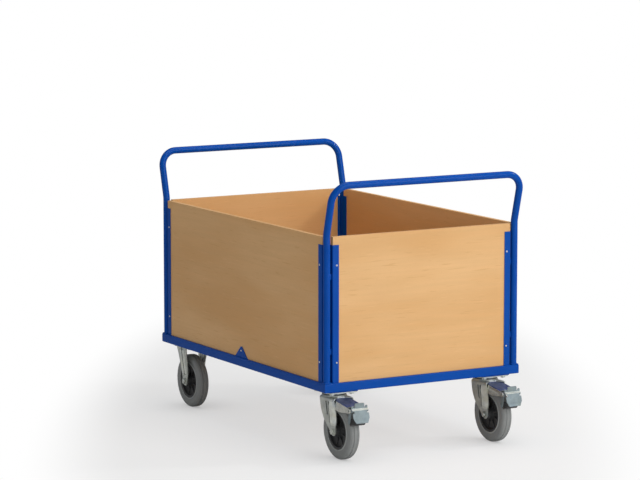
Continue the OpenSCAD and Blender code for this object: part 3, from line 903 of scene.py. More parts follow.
@dataclass(frozen=True)
class Press:
    """A rib or groove pressed into a flat sheet.

    Attributes:
        low: its corner with the lower place across and along.
        high: its opposite corner.
        slope: the width of its slanted sides.
        depth: how far it stands off the sheet, to the left of the fold line.
    """

    low: Point
    high: Point
    slope: float
    depth: float

    def stamp(self, shape: Shape) -> None:
        """Divides the sheet around the press and moves its floor.

        Args:
            shape: the flat sheet.
        """
        floor = [(self.low[axis] + self.slope, self.high[axis] - self.slope) for axis in (0, 1)]
        for axis, (start, end) in enumerate(floor):
            direction = Vector((1 - axis, axis, 0))
            for value in (self.low[axis], start, end, self.high[axis]):
                shape.cut(direction * value, direction)
        for vert in shape.bm.verts:
            if all(start - TOUCH <= vert.co[axis] <= end + TOUCH for axis, (start, end) in enumerate(floor)):
                vert.co.z = self.depth


class TubeRun:
    """A hollow tube that is drawn from one end through straight stretches and bends."""

    def __init__(self, start: Vector, heading: Vector, radius: float, wall: float, sides: int = 32) -> None:
        """Draws the tube's first end.

        Args:
            start: the middle of that end.
            heading: the direction that the tube leaves in.
            radius: the tube's outer radius.
            wall: its wall thickness.
            sides: how many sides it has.
        """
        self.shape = Shape()
        self.at = start.copy()
        self.heading = heading.normalized()
        across = heading.to_track_quat("Z", "Y").to_matrix().to_4x4()
        for size in (radius, radius - wall):
            bmesh.ops.create_circle(self.shape.bm, segments=sides, radius=size,
                                    matrix=Matrix.Translation(start) @ across)
        self.first = self.shape.bm.edges[:]
        self.end = self.first

    def straight(self, length: float) -> "TubeRun":
        """Draws the tube on in its own direction.

        Args:
            length: how far.

        Returns:
            The run itself.
        """
        made = bmesh.ops.extrude_edge_only(self.shape.bm, edges=self.end)["geom"]
        step = self.heading * length
        verts = verts_in(made)
        bmesh.ops.translate(self.shape.bm, verts=verts, vec=step)
        self.end = edges_between(made, verts)
        self.at += step
        return self

    def bend(self, radius: float, towards: Vector, degrees: float, steps: int) -> "TubeRun":
        """Bends the tube.

        Args:
            radius: the bend's radius, on the tube's axis.
            towards: the direction that it bends to, square to its own.
            degrees: how far it turns.
            steps: how many facets the bend has.

        Returns:
            The run itself.
        """
        centre = self.at + towards * radius
        axis = self.heading.cross(towards)
        verts = list({vert for edge in self.end for vert in edge.verts})
        made = bmesh.ops.spin(self.shape.bm, geom=self.end + verts, cent=centre, axis=axis, dvec=(0, 0, 0),
                              angle=math.radians(degrees), steps=steps, use_merge=False, use_duplicate=False)
        self.end = [item for item in made["geom_last"] if isinstance(item, bmesh.types.BMEdge)]
        turn = Matrix.Rotation(math.radians(degrees), 3, axis)
        self.at = centre + turn @ (self.at - centre)
        self.heading = turn @ self.heading
        return self

    def close(self) -> Shape:
        """Closes the tube's wall at both ends.

        Returns:
            The tube.
        """
        for edges in (self.first, self.end):
            bmesh.ops.bridge_loops(self.shape.bm, edges=edges)
        return self.shape.outward()


def dress(node: str, finish: Finish, edge: float = 0.4 * MM) -> None:
    """Gives a CAD node its finish and a softened edge, with its mesh left as it is.

    Args:
        node: the CAD node.
        finish: its finish.
        edge: the width of its softened edges, or 0 for none.
    """
    piece = frame["nodes"][node]
    piece.data.materials.clear()
    piece.data.materials.append(material_of(finish))
    piece.data.polygons.foreach_set("use_smooth", [False] * len(piece.data.polygons))
    weld = piece.modifiers.new("weld", "WELD")
    weld.merge_threshold = 10 * TOUCH
    if edge:
        bevel = piece.modifiers.new("soft_edges", "BEVEL")
        bevel.width, bevel.segments, bevel.limit_method = edge, 2, "ANGLE"
        bevel.angle_limit = math.radians(40)
    log.info("%s: CAD node, %s", node, finish.slot.value)


# ---- Places that the sub-assemblies share --------------------------------------


@dataclass(frozen=True)
class Extent:
    """The box around some CAD nodes at rest."""

    low: Vector
    high: Vector

    @classmethod
    def of(cls, *nodes: str) -> "Extent":
        """The box around the named nodes.

        Args:
            nodes: the CAD nodes.

        Returns:
            The box.
        """
        boxes = [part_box(node) for node in nodes]
        return cls(Vector([min(b[0][i] for b in boxes) for i in range(3)]),
                   Vector([max(b[1][i] for b in boxes) for i in range(3)]))

    @property
    def centre(self) -> Vector:
        """The middle of the box."""
        return (self.low + self.high) / 2

    @property
    def size(self) -> Vector:
        """The lengths of the box's sides."""
        return self.high - self.low


def joint_place(name: str) -> Vector:
    """Where a joint's axis lies."""
    return Vector(next(j["pos_m"] for j in frame["joints"] if j["name"] == name))


def turned(degrees: float) -> Matrix:
    """A turn about Z."""
    return Matrix.Rotation(math.radians(degrees), 4, "Z")


def moved(x: float = 0.0, y: float = 0.0, z: float = 0.0) -> Matrix:
    """A shift."""
    return Matrix.Translation((x, y, z))


PLATFORM = Extent.of("front_rail", "rear_rail", "left_rail", "right_rail")
CENTRE = moved(PLATFORM.centre.x, PLATFORM.centre.y)
HALF_W, HALF_L = PLATFORM.size.x / 2, PLATFORM.size.y / 2
RAIL_LOW, RAIL_TOP = PLATFORM.low.z, PLATFORM.high.z
# From the origin to the front left corner, and from that corner to all four
TO_CORNER = moved(-HALF_W, -HALF_L)
CORNERS = [Matrix.Diagonal((x, y, 1, 1)) for x in (1, -1) for y in (1, -1)]
# Swaps X and Y, which turns an end wall's corner part into a side wall's
SIDE_TURNED = Matrix(((0, 1, 0, 0), (1, 0, 0, 0), (0, 0, 1, 0), (0, 0, 0, 1)))
FLIP_X, FLIP_Z = Matrix.Diagonal((-1, 1, 1, 1)), Matrix.Diagonal((1, 1, -1, 1))


@dataclass(frozen=True)
class CrossScrew:
    """A screw with a cross recess, its head's seat on the XY plane and its shank along -Z.

    Attributes:
        radius: the head's radius.
        head: the head's height.
        shank_r: the shank's radius.
        shank: the shank's length.
        sunk: whether the head is a cone below the plane, with its flat top on it.
    """

    radius: float
    head: float
    shank_r: float
    shank: float
    sunk: bool = False

    def rings(self) -> list[Point]:
        """The rings from the top's rim down to the shank's end.

        Returns:
            The radius and level of each.
        """
        if self.sunk:
            return [(self.radius * 0.96, 0.0), (self.radius, -0.2 * MM), (self.shank_r, -self.head),
                    (self.shank_r, -self.shank)]
        return [(self.radius * 0.72, self.head), (self.radius * 0.90, self.head * 0.72),
                (self.radius, self.head * 0.35), (self.radius, 0.0), (self.shank_r, 0.0),
                (self.shank_r, -self.shank)]

    def make(self) -> Shape:
        """Builds the screw from its recess outwards and down.

        Returns:
            The screw.
        """
        arm, half = self.radius * 0.55, self.radius * 0.13
        quarter = [(arm, -half), (arm, half), (half, half)]
        cross = [(turned(90 * i) @ Vector((*point, 0))).xy[:] for i in range(4) for point in quarter]
        rings = self.rings()
        rim_r, top = rings[0]
        shape = Shape.face(cross).shift(z=top)
        recess = shape.bm.faces[:]
        rim = bmesh.ops.create_circle(shape.bm, segments=24, radius=rim_r, matrix=moved(z=top))["verts"]
        edges = [edge for edge in shape.bm.edges if edge.verts[0] in rim]
        bmesh.ops.bridge_loops(shape.bm, edges=edges + list(recess[0].edges))
        for size, level in rings[1:]:
            made = bmesh.ops.extrude_edge_only(shape.bm, edges=edges)["geom"]
            verts = verts_in(made)
            grow = size / verts[0].co.xy.length
            bmesh.ops.scale(shape.bm, vec=(grow, grow, 1), verts=verts)
            bmesh.ops.translate(shape.bm, vec=(0, 0, level - verts[0].co.z), verts=verts)
            edges = edges_between(made, verts)
        bmesh.ops.holes_fill(shape.bm, edges=edges)
        pit = verts_in(bmesh.ops.extrude_face_region(shape.bm, geom=recess)["geom"])
        bmesh.ops.scale(shape.bm, vec=(0.7, 0.7, 1), verts=pit)
        bmesh.ops.translate(shape.bm, vec=(0, 0, -self.radius * 0.35), verts=pit)
        return shape.outward()


def hex_fastener(across: float, height: float, bore: float = 0.0) -> Shape:
    """A chamfered hexagon on the XY plane, rising along Z.

    Args:
        across: the distance across its flats.
        height: its height.
        bore: how wide its bore is, where it is a nut.

    Returns:
        The hexagon.
    """
    corner = across / math.sqrt(3)
    shape = Shape.face(arc((0, 0), (corner, corner), 0, 300, 5))
    if bore:
        shape.hollow((across - bore) / 2)
    return shape.thicken(height).soften(height * 0.12)


def washer(outer: float, bore: float, height: float) -> Shape:
    """A flat washer on the XY plane."""
    return Shape.lathe([(bore, 0), (outer, 0), (outer, height), (bore, height)], 32, height * 0.25)


def rod(radius: float, length: float, chamfer: float = 0.5 * MM) -> Shape:
    """A round rod along Z from the XY plane.

    Args:
        radius: its radius.
        length: its length.
        chamfer: the chamfer of both ends.

    Returns:
        The rod.
    """
    profile = [(0, 0), (radius - chamfer, 0), (radius, chamfer), (radius, length - chamfer),
               (radius - chamfer, length), (0, length)]
    return Shape.lathe(profile, 24, ring=False)


# ---- Platform ------------------------------------------------------------------


@dataclass
class Platform:
    """The mitred rails, the bearers, the deck board and the castors' mounting plates."""

    rail_w: float = 40 * MM
    rail_wall: float = 2.5 * MM
    rail_corner: float = 3.2 * MM
    bearer_w: float = 30 * MM
    bearer_wall: float = 2 * MM
    bearer_count: int = 5
    deck_t: float = 15 * MM
    screw_rows: int = 3
    screw: CrossScrew = CrossScrew(4.5 * MM, 2.3 * MM, 2.2 * MM, 23 * MM, sunk=True)
    screw_proud: float = 0.05 * MM

    def bar(self, length: float, width: float, height: float, wall: float, mitre: bool) -> Shape:
        """A hollow bar along X, centred, with its outer face on Y = 0 and its foot on Z = 0.

        Args:
            length: its length on the outer face.
            width: its width along Y.
            height: its height.
            wall: its wall thickness.
            mitre: whether its ends are cut at 45 degrees.

        Returns:
            The bar.
        """
        shape = Shape.rectangle((0, 0), (width, height), self.rail_corner if mitre else wall).hollow(wall)
        shape.thicken(length)
        if mitre:
            for vert in shape.bm.verts:
                vert.co.z += vert.co.x if vert.co.z < length / 2 else -vert.co.x
        return shape.apply(SECTION_TO_X).shift(x=-length / 2)

    def rails(self) -> None:
        """The four rails, mitred at the corners."""
        turns = {"front": (0, HALF_L, HALF_W), "rear": (180, HALF_L, HALF_W),
                 "left": (-90, HALF_W, HALF_L), "right": (90, HALF_W, HALF_L)}
        for word, (turn, out, half) in turns.items():
            shape = self.bar(2 * half, self.rail_w, RAIL_TOP - RAIL_LOW, self.rail_wall, True)
            shape.shift(y=-out, z=RAIL_LOW).apply(CENTRE @ turned(turn))
            shape.piece(f"{word}_rail_tube", "chassis", [BLUE], [f"{word}_rail"])

    def bearer_lines(self) -> list[float]:
        """Where each bearer lies.

        Returns:
            The Y of each bearer's middle, from the platform's middle.
        """
        span = 2 * (HALF_L - self.rail_w) - self.bearer_w
        return [-span / 2 + i * span / (self.bearer_count - 1) for i in range(self.bearer_count)]

    def bearers(self) -> None:
        """The cross bearers under the deck."""
        length = 2 * (HALF_W - self.rail_w)
        height = RAIL_TOP - RAIL_LOW - self.deck_t
        bar = self.bar(length, self.bearer_w, height, self.bearer_wall, False).shift(y=-self.bearer_w / 2)
        places = [moved(y=y, z=RAIL_LOW) for y in self.bearer_lines()]
        bar.copies(places).apply(CENTRE).piece("deck_bearer_tubes", "chassis", [BLUE], ["deck_bearers"])

    def deck(self) -> None:
        """The deck board and its countersunk screws."""
        size = (2 * (HALF_W - self.rail_w), 2 * (HALF_L - self.rail_w), self.deck_t)
        board = Shape.block(size, (0, 0, RAIL_TOP - self.deck_t / 2)).soften(0.6 * MM).apply(CENTRE)
        board.piece("load_deck", "chassis", [BEECH_ALONG], ["deck_board"])
        pitch = (size[0] - 2 * self.bearer_w) / (self.screw_rows - 1)
        columns = [(i - (self.screw_rows - 1) / 2) * pitch for i in range(self.screw_rows)]
        top = RAIL_TOP + self.screw_proud
        screws = self.screw.make().copies(moved(x, y, top) for x in columns for y in self.bearer_lines())
        screws.apply(CENTRE).piece("deck_board_screws", "chassis", [ZINC], ["deck_screws"])

    def build(self) -> None:
        """Builds and dresses the platform."""
        self.rails()
        self.bearers()
        self.deck()
        dress("castor_mount_plates", BLUE, 0.6 * MM)


# ---- Hoops ---------------------------------------------------------------------


@dataclass
class Hoops:
    """The bent tube hoops that are legs and push bar in one, with their feet."""

    tube_r: float = 12.5 * MM
    tube_wall: float = 2 * MM
    inset: float = 15 * MM
    knee_h: float = 519 * MM
    knee_r: float = 60 * MM
    corner_r: float = 62 * MM
    foot_size: float = 28 * MM
    foot_t: float = 3 * MM
    bead: float = 2.2 * MM
    bead_sunk: float = 0.3 * MM

    def tube(self, node: str) -> Shape:
        """One continuous bent tube, its legs at the front corners.

        Args:
            node: the hoop's CAD node, which gives its height and how far it leans out.

        Returns:
            The tube, about the platform's middle.
        """
        box = Extent.of(node)
        reach = box.size.y - 2 * self.tube_r
        rise = box.high.z - self.tube_r - RAIL_TOP
        lean = math.atan2(reach, rise - self.knee_h)
        trim = self.knee_r * math.tan(lean / 2)
        slant = math.hypot(reach, rise - self.knee_h) - trim - self.corner_r
        start = Vector((-HALF_W + self.inset, -HALF_L + self.inset, RAIL_TOP + self.foot_t))
        upright = self.knee_h - trim - self.foot_t
        run = TubeRun(start, Vector((0, 0, 1)), self.tube_r, self.tube_wall)
        run.straight(upright).bend(self.knee_r, Vector((0, -1, 0)), math.degrees(lean), 6).straight(slant)
        up = run.heading.copy()
        run.bend(self.corner_r, Vector((1, 0, 0)), 90, 18)
        run.straight(2 * (HALF_W - self.inset - self.corner_r))
        run.bend(self.corner_r, -up, 90, 18).straight(slant)
        back = Vector((0, -math.cos(lean), -math.sin(lean)))
        run.bend(self.knee_r, back, math.degrees(lean), 6).straight(upright)
        return run.close()

    def feet(self) -> None:
        """The square foot plates and the weld beads round the legs."""
        centre = (self.inset, self.inset, RAIL_TOP + self.foot_t / 2)
        plate = Shape.block((self.foot_size, self.foot_size, self.foot_t), centre).soften(0.6 * MM)
        plates = plate.apply(TO_CORNER).copies(CORNERS).apply(CENTRE)
        plates.piece("hoop_feet", "chassis", [BLUE], ["hoop_foot_plates"])
        inner = self.tube_r - self.bead_sunk
        section = [(inner, 0), (self.tube_r + self.bead, 0),
                   (self.tube_r + 0.7 * self.bead, self.bead * 0.6), (inner, self.bead)]
        bead = Shape.lathe(section, 48, 0.3 * MM).shift(self.inset, self.inset, RAIL_TOP + self.foot_t)
        bead.apply(TO_CORNER).copies(CORNERS).apply(CENTRE).piece("leg_weld_beads", "chassis", [BLUE])

    def build(self) -> None:
        """Builds and dresses the hoops."""
        for word, turn in (("front", 0), ("rear", 180)):
            node = f"{word}_hoop"
            self.tube(node).apply(CENTRE @ turned(turn)).piece(f"{node}_tube", "chassis", [BLUE], [node])
        self.feet()


# ---- Walls ---------------------------------------------------------------------


@dataclass
class Walls:
    """The four boards, the corner channels that hold them, the ties, brackets and screws."""

    panel_t: float = 15 * MM
    inset: float = 9 * MM
    end_inset: float = 36 * MM
    wall: float = 2 * MM
    depth: float = 25.5 * MM
    lip: float = 10 * MM
    screw_margin: float = 71 * MM
    screw_edge: float = 9 * MM
    bracket_l: float = 100 * MM
    bracket_t: float = 3 * MM
    bracket_tip: float = 8 * MM
    bracket_screw_h: float = 25 * MM
    bracket_flare: float = 7 * MM
    bracket_foot: float = 3 * MM
    screw: CrossScrew = CrossScrew(3.2 * MM, 2 * MM, 2.2 * MM, 14 * MM)
    tie_h: float = 20 * MM
    tie_t: float = 3 * MM
    tie_margin: float = 110 * MM
    tie_sunk: float = 0.5 * MM

    @property
    def web(self) -> float:
        """From the frame's outer face to the back of a channel."""
        return self.end_inset - self.wall

    @property
    def channel_l(self) -> float:
        """The length of a channel."""
        return Extent.of("end_channels").size.z

    def levels(self, margin: float) -> list[float]:
        """Two levels on a channel, a margin above its foot and below its head."""
        return [RAIL_TOP + margin, RAIL_TOP + self.channel_l - margin]

    def hands(self) -> list[Matrix]:
        """From the origin to the front left corner, as an end wall's part and as a side wall's."""
        return [TO_CORNER, TO_CORNER @ SIDE_TURNED]

    def channel(self, inner: float) -> Shape:
        """One corner channel, its web's back towards the corner.

        Args:
            inner: how far its inner flange reaches.

        Returns:
            The channel, standing on the rail beside the origin.
        """
        front, back = self.inset - self.wall, self.inset + self.panel_t + self.wall
        plan = [(self.web + self.depth, front), (self.web, front), (self.web, back), (self.web + inner, back)]
        shape = Shape.wire(plan, 3 * MM)
        made = bmesh.ops.extrude_edge_only(shape.bm, edges=shape.bm.edges[:])["geom"]
        bmesh.ops.translate(shape.bm, verts=verts_in(made), vec=(0, 0, self.channel_l))
        inside = Vector((self.web + inner, (front + back) / 2, self.channel_l / 2))
        return shape.solidify(self.wall, inside).soften(0.35 * MM).shift(z=RAIL_TOP)

    def channels(self) -> None:
        """The eight channels and the ties that weld them to the legs."""
        ends = self.channel(self.lip).apply(TO_CORNER).copies(CORNERS).apply(CENTRE)
        ends.piece("end_wall_channels", "chassis", [BLUE], ["end_channels"])
        sides = self.channel(self.depth).apply(TO_CORNER @ SIDE_TURNED).copies(CORNERS).apply(CENTRE)
        sides.outward().piece("side_wall_channels", "chassis", [BLUE], ["side_channels"])
        reach = self.web - Hoops.inset - Hoops.tube_r + self.tie_sunk
        centre = (self.web - reach / 2, Hoops.inset, 0)
        tie = Shape.block((reach, self.tie_t, self.tie_h), centre).soften(0.5 * MM)
        ties = tie.copies(hand @ moved(z=z) for z in self.levels(self.tie_margin) for hand in self.hands())
        ties.copies(CORNERS).apply(CENTRE).piece("channel_leg_ties", "chassis", [BLUE], ["channel_ties"])

    def board(self, word: str, turn: float, out: float, half: float, finishes: Sequence[Finish]) -> None:
        """One board wall, its faces in beech decor and its edges lipped.

        Args:
            word: which wall.
            turn: its turn about Z from the front wall, in degrees.
            out: from the platform's middle to the rail's outer face.
            half: half the rail's length.
            finishes: the finishes of its faces and edges.
        """
        height = Extent.of(f"{word}_panel").size.z
        size = (2 * (half - self.end_inset), self.panel_t, height)
        centre = (0, self.inset + self.panel_t / 2 - out, RAIL_TOP + height / 2)
        shape = Shape.block(size, centre).soften(0.8 * MM)
        for face in shape.bm.faces:
            face.material_index = 0 if abs(face.normal.y) > 0.9 else 1
        shape.apply(CENTRE @ turned(turn))
        shape.piece(f"{word}_board", "chassis", finishes, [f"{word}_panel"])

    def boards(self) -> None:
        """The four board walls."""
        across, along = [BEECH_ACROSS, LIPPING_ACROSS], [BEECH_ALONG, LIPPING_ALONG]
        self.board("front", 0, HALF_L, HALF_W, across)
        self.board("rear", 180, HALF_L, HALF_W, across)
        self.board("left", -90, HALF_W, HALF_L, along)
        self.board("right", 90, HALF_W, HALF_L, along)

    def brackets(self) -> None:
        """The triangular brackets on the middle of the side rails."""
        height = Extent.of("side_brackets").size.z
        half, tip = self.bracket_l / 2, self.bracket_tip / 2
        inner, foot = half - self.bracket_flare, self.bracket_foot
        outline = [(-half, 0), (half, 0), (inner, foot), (tip, height), (-tip, height), (-inner, foot)]
        plate = Shape.face(outline, 1.6 * MM).thicken(self.bracket_t).soften(0.4 * MM)
        plate.apply(UPRIGHT).shift(y=self.inset - HALF_W, z=RAIL_TOP)
        plates = plate.copies([turned(-90), turned(90)]).apply(CENTRE)
        plates.piece("rail_brackets", "chassis", [BLUE], ["side_brackets"])

    def screws(self) -> None:
        """The round-headed screws of the channels and brackets."""
        screw = self.screw.make().apply(UPRIGHT)
        x, y = self.web + self.depth - self.screw_edge, self.inset - self.wall
        places = [moved(x, y, z) for z in self.levels(self.screw_margin)]
        shape = screw.copies(hand @ place for hand in self.hands() for place in places).copies(CORNERS)
        side = moved(y=self.inset - self.bracket_t - HALF_W, z=RAIL_TOP + self.bracket_screw_h)
        shape.add(screw, [turned(-90) @ side, turned(90) @ side])
        shape.apply(CENTRE).piece("wall_screws", "chassis", [SCREW_ZINC], ["panel_screws"])

    def build(self) -> None:
        """Builds and dresses the walls."""
        self.channels()
        self.boards()
        self.brackets()
        self.screws()


# ---- Castors ---------------------------------------------------------------------


@dataclass
class TopPlates:
    """The castors' top plates, ball races, bolts and kingpins, which stay with the frame."""

    width: float = 110 * MM
    length: float = 138 * MM
    thickness: float = 4 * MM
    rounding: float = 8 * MM
    pitch_x: float = 80 * MM
    pitch_y: float = 105 * MM
    bolt_r: float = 5 * MM
    bolt_across: float = 16 * MM
    bolt_head: float = 5.4 * MM
    bolt_l: float = 9 * MM
    washer_r: float = 9 * MM
    washer_t: float = 1.2 * MM
    race_out: float = 42.75 * MM
    race_in: float = 28.25 * MM
    race_h: float = 8 * MM

    @property
    def top(self) -> float:
        """The level of the plates' upper faces."""
        return Extent.of("swivel_plates").high.z

    def plate(self) -> Shape:
        """One rounded plate.

        Returns:
            The plate about the origin, its upper face on the plates' level.
        """
        low, high = (-self.width / 2, -self.length / 2), (self.width / 2, self.length / 2)
        shape = Shape.rectangle(low, high, self.rounding).thicken(self.thickness).soften(0.7 * MM)
        return shape.shift(z=self.top - self.thickness)

    def centres(self) -> dict[str, list[Matrix]]:
        """Where the castors stand.

        Returns:
            The places of the swivel heads and of the fixed castors.
        """
        swivels = [joint_place(f"{side.word}_swivel") for side in Side]
        fixed = [joint_place(f"rear_{side.word}_roll") for side in Side]
        return {"swivel": [moved(p.x, p.y) for p in swivels], "fixed": [moved(p.x, p.y) for p in fixed]}

    def bolts(self) -> None:
        """The hexagon bolts with washers that hold every castor."""
        seat = self.top - self.thickness
        under = moved(z=-self.washer_t)
        bolt = hex_fastener(self.bolt_across, self.bolt_head).apply(under @ FLIP_Z).outward()
        bolt.add(washer(self.washer_r, self.bolt_r, self.washer_t), [under])
        bolt.add(rod(self.bolt_r, self.bolt_l))
        pattern = [moved(x * self.pitch_x / 2, y * self.pitch_y / 2, seat) for x in (-1, 1) for y in (-1, 1)]
        centres = [place for group in self.centres().values() for place in group]
        bolt.copies(pattern).copies(centres).piece("castor_hex_bolts", "chassis", [ZINC], ["castor_bolts"])

    def build(self) -> None:
        """Builds and dresses the swivel heads' fixed half."""
        seat = self.top - self.thickness
        race = [(self.race_in, seat + 0.5 * MM), (self.race_out + 1.2 * MM, seat + 0.5 * MM),
                (self.race_out, seat - 2 * MM), (self.race_out, seat - self.race_h),
                (self.race_in, seat - self.race_h)]
        head = self.plate().add(Shape.lathe(race, 72, 0.9 * MM))
        head.copies(self.centres()["swivel"]).piece("swivel_top_plates", "chassis", [ZINC], ["swivel_plates"])
        self.bolts()
        dress("swivel_seals", PLASTIC, 0.4 * MM)
        dress("swivel_balls", ZINC, 0)
        dress("kingpins", ZINC, 0.5 * MM)
        dress("kingpin_nuts", ZINC, 0.5 * MM)


@dataclass
class Axle:
    """A wheel's bolt, nut and washers along X about the origin, head towards -X."""

    half: float = 34 * MM
    radius: float = 6 * MM
    across: float = 19 * MM
    head: float = 6.6 * MM
    nut: float = 5.5 * MM
    collar_h: float = 2.6 * MM
    collar_r: float = 8.6 * MM
    tail: float = 10 * MM
    disc: float = 1.4 * MM
    disc_r: float = 12.5 * MM

    def bolt(self) -> Shape:
        """The bolt with the washer under its head.

        Returns:
            The bolt.
        """
        shape = hex_fastener(self.across, self.head).shift(z=self.disc + self.half)
        shape.add(washer(self.disc_r, self.radius, self.disc), [moved(z=self.half)])
        shape.apply(FLIP_Z).outward()
        shape.add(rod(self.radius, 2 * self.half + self.tail), [moved(z=-self.half)])
        return shape.apply(SECTION_TO_X)

    def locknut(self) -> Shape:
        """The nut with its collar and washer.

        Returns:
            The nut.
        """
        seat = self.half + self.disc
        shape = hex_fastener(self.across, self.nut, 2 * self.radius).shift(z=seat)
        collar = [(self.radius, 0), (self.collar_r, 0), (self.collar_r - 0.6 * MM, self.collar_h),
                  (self.radius, self.collar_h)]
        shape.add(Shape.lathe(collar, 32, 0.4 * MM), [moved(z=seat + self.nut)])
        shape.add(washer(self.disc_r, self.radius, self.disc), [moved(z=self.half)])
        return shape.apply(SECTION_TO_X)


@dataclass
class BrakedCastor:
    """A swivel castor's fork with its axle, brake bracket, pedal and pad."""

    side: Side
    sheet: float = 3.5 * MM
    end_r: float = 15.5 * MM
    leg_out: float = 34 * MM
    crown_half: float = 42.5 * MM
    crown_r: float = 45.75 * MM
    crown_drop: float = 16.5 * MM
    bend_r: float = 9 * MM
    belly: Point = (50 * MM, 65.7 * MM)
    belly_drop: float = 33.5 * MM
    groove: float = 4.5 * MM
    groove_slope: float = 2.5 * MM
    strip_turn: float = 8.0 * MM
    strip_feet: Point = (20 * MM, 34 * MM)
    strip_heads: Point = (30 * MM, 12 * MM)
    back: float = 30 * MM
    flare: float = 50 * MM
    race_out: float = 42.75 * MM
    race_in: float = 28.25 * MM
    race_h: float = 5.5 * MM
    arm_half: float = 34 * MM
    arm_r: float = 9 * MM
    arm_bend: float = 3 * MM
    bracket_sheet: float = 2.5 * MM
    slope_start: float = -45 * MM
    tail: float = 20 * MM
    pedal_half: float = 32 * MM
    pedal_skin: float = 1.2 * MM
    flap_end: float = 9 * MM
    notch: float = 7 * MM
    tab_half: float = 19 * MM
    lever_r: float = 8 * MM
    lever_gap: float = 0.3 * MM
    pin_r: float = 4 * MM
    pin_head: float = 2 * MM

    def __post_init__(self) -> None:
        """Reads the kingpin, axle and pivot from the frame's joints."""
        word = self.side.word
        self.body = f"{word}_castor"
        self.kingpin = joint_place(f"{word}_swivel")
        self.axle = joint_place(f"front_{word}_roll") - self.kingpin
        self.pivot = joint_place(f"{word}_brake_press") - self.kingpin
        self.axle_z, self.pivot_z = self.axle.z + self.kingpin.z, self.pivot.z + self.kingpin.z
        self.front = self.axle.y - self.end_r
        self.edge = self.axle.y + self.end_r
        self.crown = TopPlates().top - TopPlates.thickness - self.crown_drop
        self.place = moved(self.kingpin.x, self.kingpin.y)

    def fork_fold(self) -> FoldLine:
        """The fork's end view, from the middle of its crown down one leg."""
        corners = [(0, self.crown), (self.crown_half, self.crown), (self.leg_out, self.axle_z + self.flare),
                   (self.leg_out, self.axle_z - self.end_r - MM)]
        return FoldLine(corners, self.bend_r)

    def fork_outline(self, fold: FoldLine, past: float) -> list[Point]:
        """Half of the fork's flat sheet.

        Args:
            fold: the fork's fold line.
            past: the length at the end of the crown's bend.

        Returns:
            The outline's points.
        """
        front, lead = self.front, -self.race_out - 4 * MM
        axle_s = fold.reach(1, self.axle_z, past)
        belly = arc((self.back - self.belly[0], self.crown - self.belly_drop), self.belly, -64, 0, 10)
        disc_x = math.sqrt(self.crown_r ** 2 - self.back ** 2)
        disc_angle = math.degrees(math.atan2(disc_x, self.back))
        return [(lead, 0), (lead, 14 * MM), (front + 3 * MM, 30 * MM), (front, 36 * MM), (front, axle_s),
                *arc((self.axle.y, axle_s), (self.end_r, -self.end_r), 190, 310, 10),
                *((y, fold.reach(1, z, past)) for y, z in belly),
                *arc((0, 0), (self.crown_r, self.crown_r), disc_angle, 0, 8)]

    def strip_levels(self) -> list[float]:
        """Where the leg's turned front strip starts, is full, is full no more and ends."""
        feet = [self.axle_z + foot for foot in self.strip_feet]
        return feet + [self.crown - head for head in self.strip_heads]

    def strip(self, y: float, x: float, z: float) -> Vector:
        """Turns the leg's front strip towards the front and stands it off the leg.

        Args:
            y: the place across the sheet, along the trolley.
            x: how far the sheet stands out there.
            z: the level.

        Returns:
            The point.
        """
        foot, foot_end, head, head_end = self.strip_levels()
        rise = min(1.0, max(0.0, (z - foot) / (foot_end - foot)))
        rise *= min(1.0, max(0.0, (head_end - z) / (head_end - head)))
        lift = (y - self.front) / (self.edge - self.front) - 0.45
        if y > self.edge:
            lift = 0.55 * max(0.0, 1 - (y - self.edge) / (2 * MM))
        return Vector((x + rise * self.strip_turn * lift, y, z))

    def fork(self) -> None:
        """The fork, pressed from one sheet, with the lower ball race."""
        fold, levels, edge = self.fork_fold(), self.strip_levels(), self.edge
        past = fold.first_bend_end
        low = fold.reach(1, self.axle_z + 26 * MM, past)
        high = fold.reach(1, self.crown - 14 * MM)
        grooves = [Press((edge + 1 * MM, high), (edge + 12 * MM, low), self.groove_slope, -self.groove),
                   Press((edge + 18 * MM, high), (edge + 27 * MM, low - 26 * MM), self.groove_slope,
                         -0.7 * self.groove)]
        shape = Shape.bent_sheet(self.fork_outline(fold, past), fold, self.strip, self.sheet,
                                 Vector((0, -0.02, self.axle_z + self.flare)), grooves, [edge - 1 * MM, edge],
                                 [fold.reach(1, z, past) for z in levels])
        shape.soften(0.5 * MM, 2, SHEET_EDGE)
        for face in shape.bm.faces:
            middle = face.calc_center_median()
            if levels[0] < middle.z < levels[3] and face.normal.x * middle.x > 0:
                # The front strip's faces get the pale zinc, a painted highlight; the sunk groove floors get
                # the dark zinc, painted shade
                sunk = abs(middle.x) < fold.at(fold.reach(1, middle.z, past)).x - 1.4 * MM
                face.material_index = 2 if middle.y < edge else int(sunk)
        crown, head, outer = self.crown, self.crown + self.race_h, self.race_out
        race = [(self.race_in, crown - MM), (outer + 2.5 * MM, crown - MM),
                (outer + 1.5 * MM, crown + 1.2 * MM), (outer, head - 1.2 * MM), (outer - 1.5 * MM, head),
                (self.race_in, head)]
        word = self.side.word
        shape.add(Shape.lathe(race, 72, 0.6 * MM)).apply(self.place)
        shape.piece(f"{word}_pressed_fork", self.body, [ZINC, RECESS_SHADE_ZINC, RAISED_HIGHLIGHT_ZINC], [f"{word}_fork"])

    def axle_parts(self) -> None:
        """The axle bolt and nut, with the head on the trolley's outer side."""
        word = self.side.word
        hand = Matrix.Diagonal((-self.side.value, 1, 1, 1))
        spot = self.place @ moved(y=self.axle.y, z=self.axle_z) @ hand
        for kind, shape in (("bolt", Axle().bolt()), ("nut", Axle().locknut())):
            shape.apply(spot).outward()
            shape.piece(f"{word}_axle_{kind}_hex", self.body, [ZINC], [f"{word}_axle_{kind}"])
        dress(f"{word}_axle_sleeve", ZINC, 0.3 * MM)

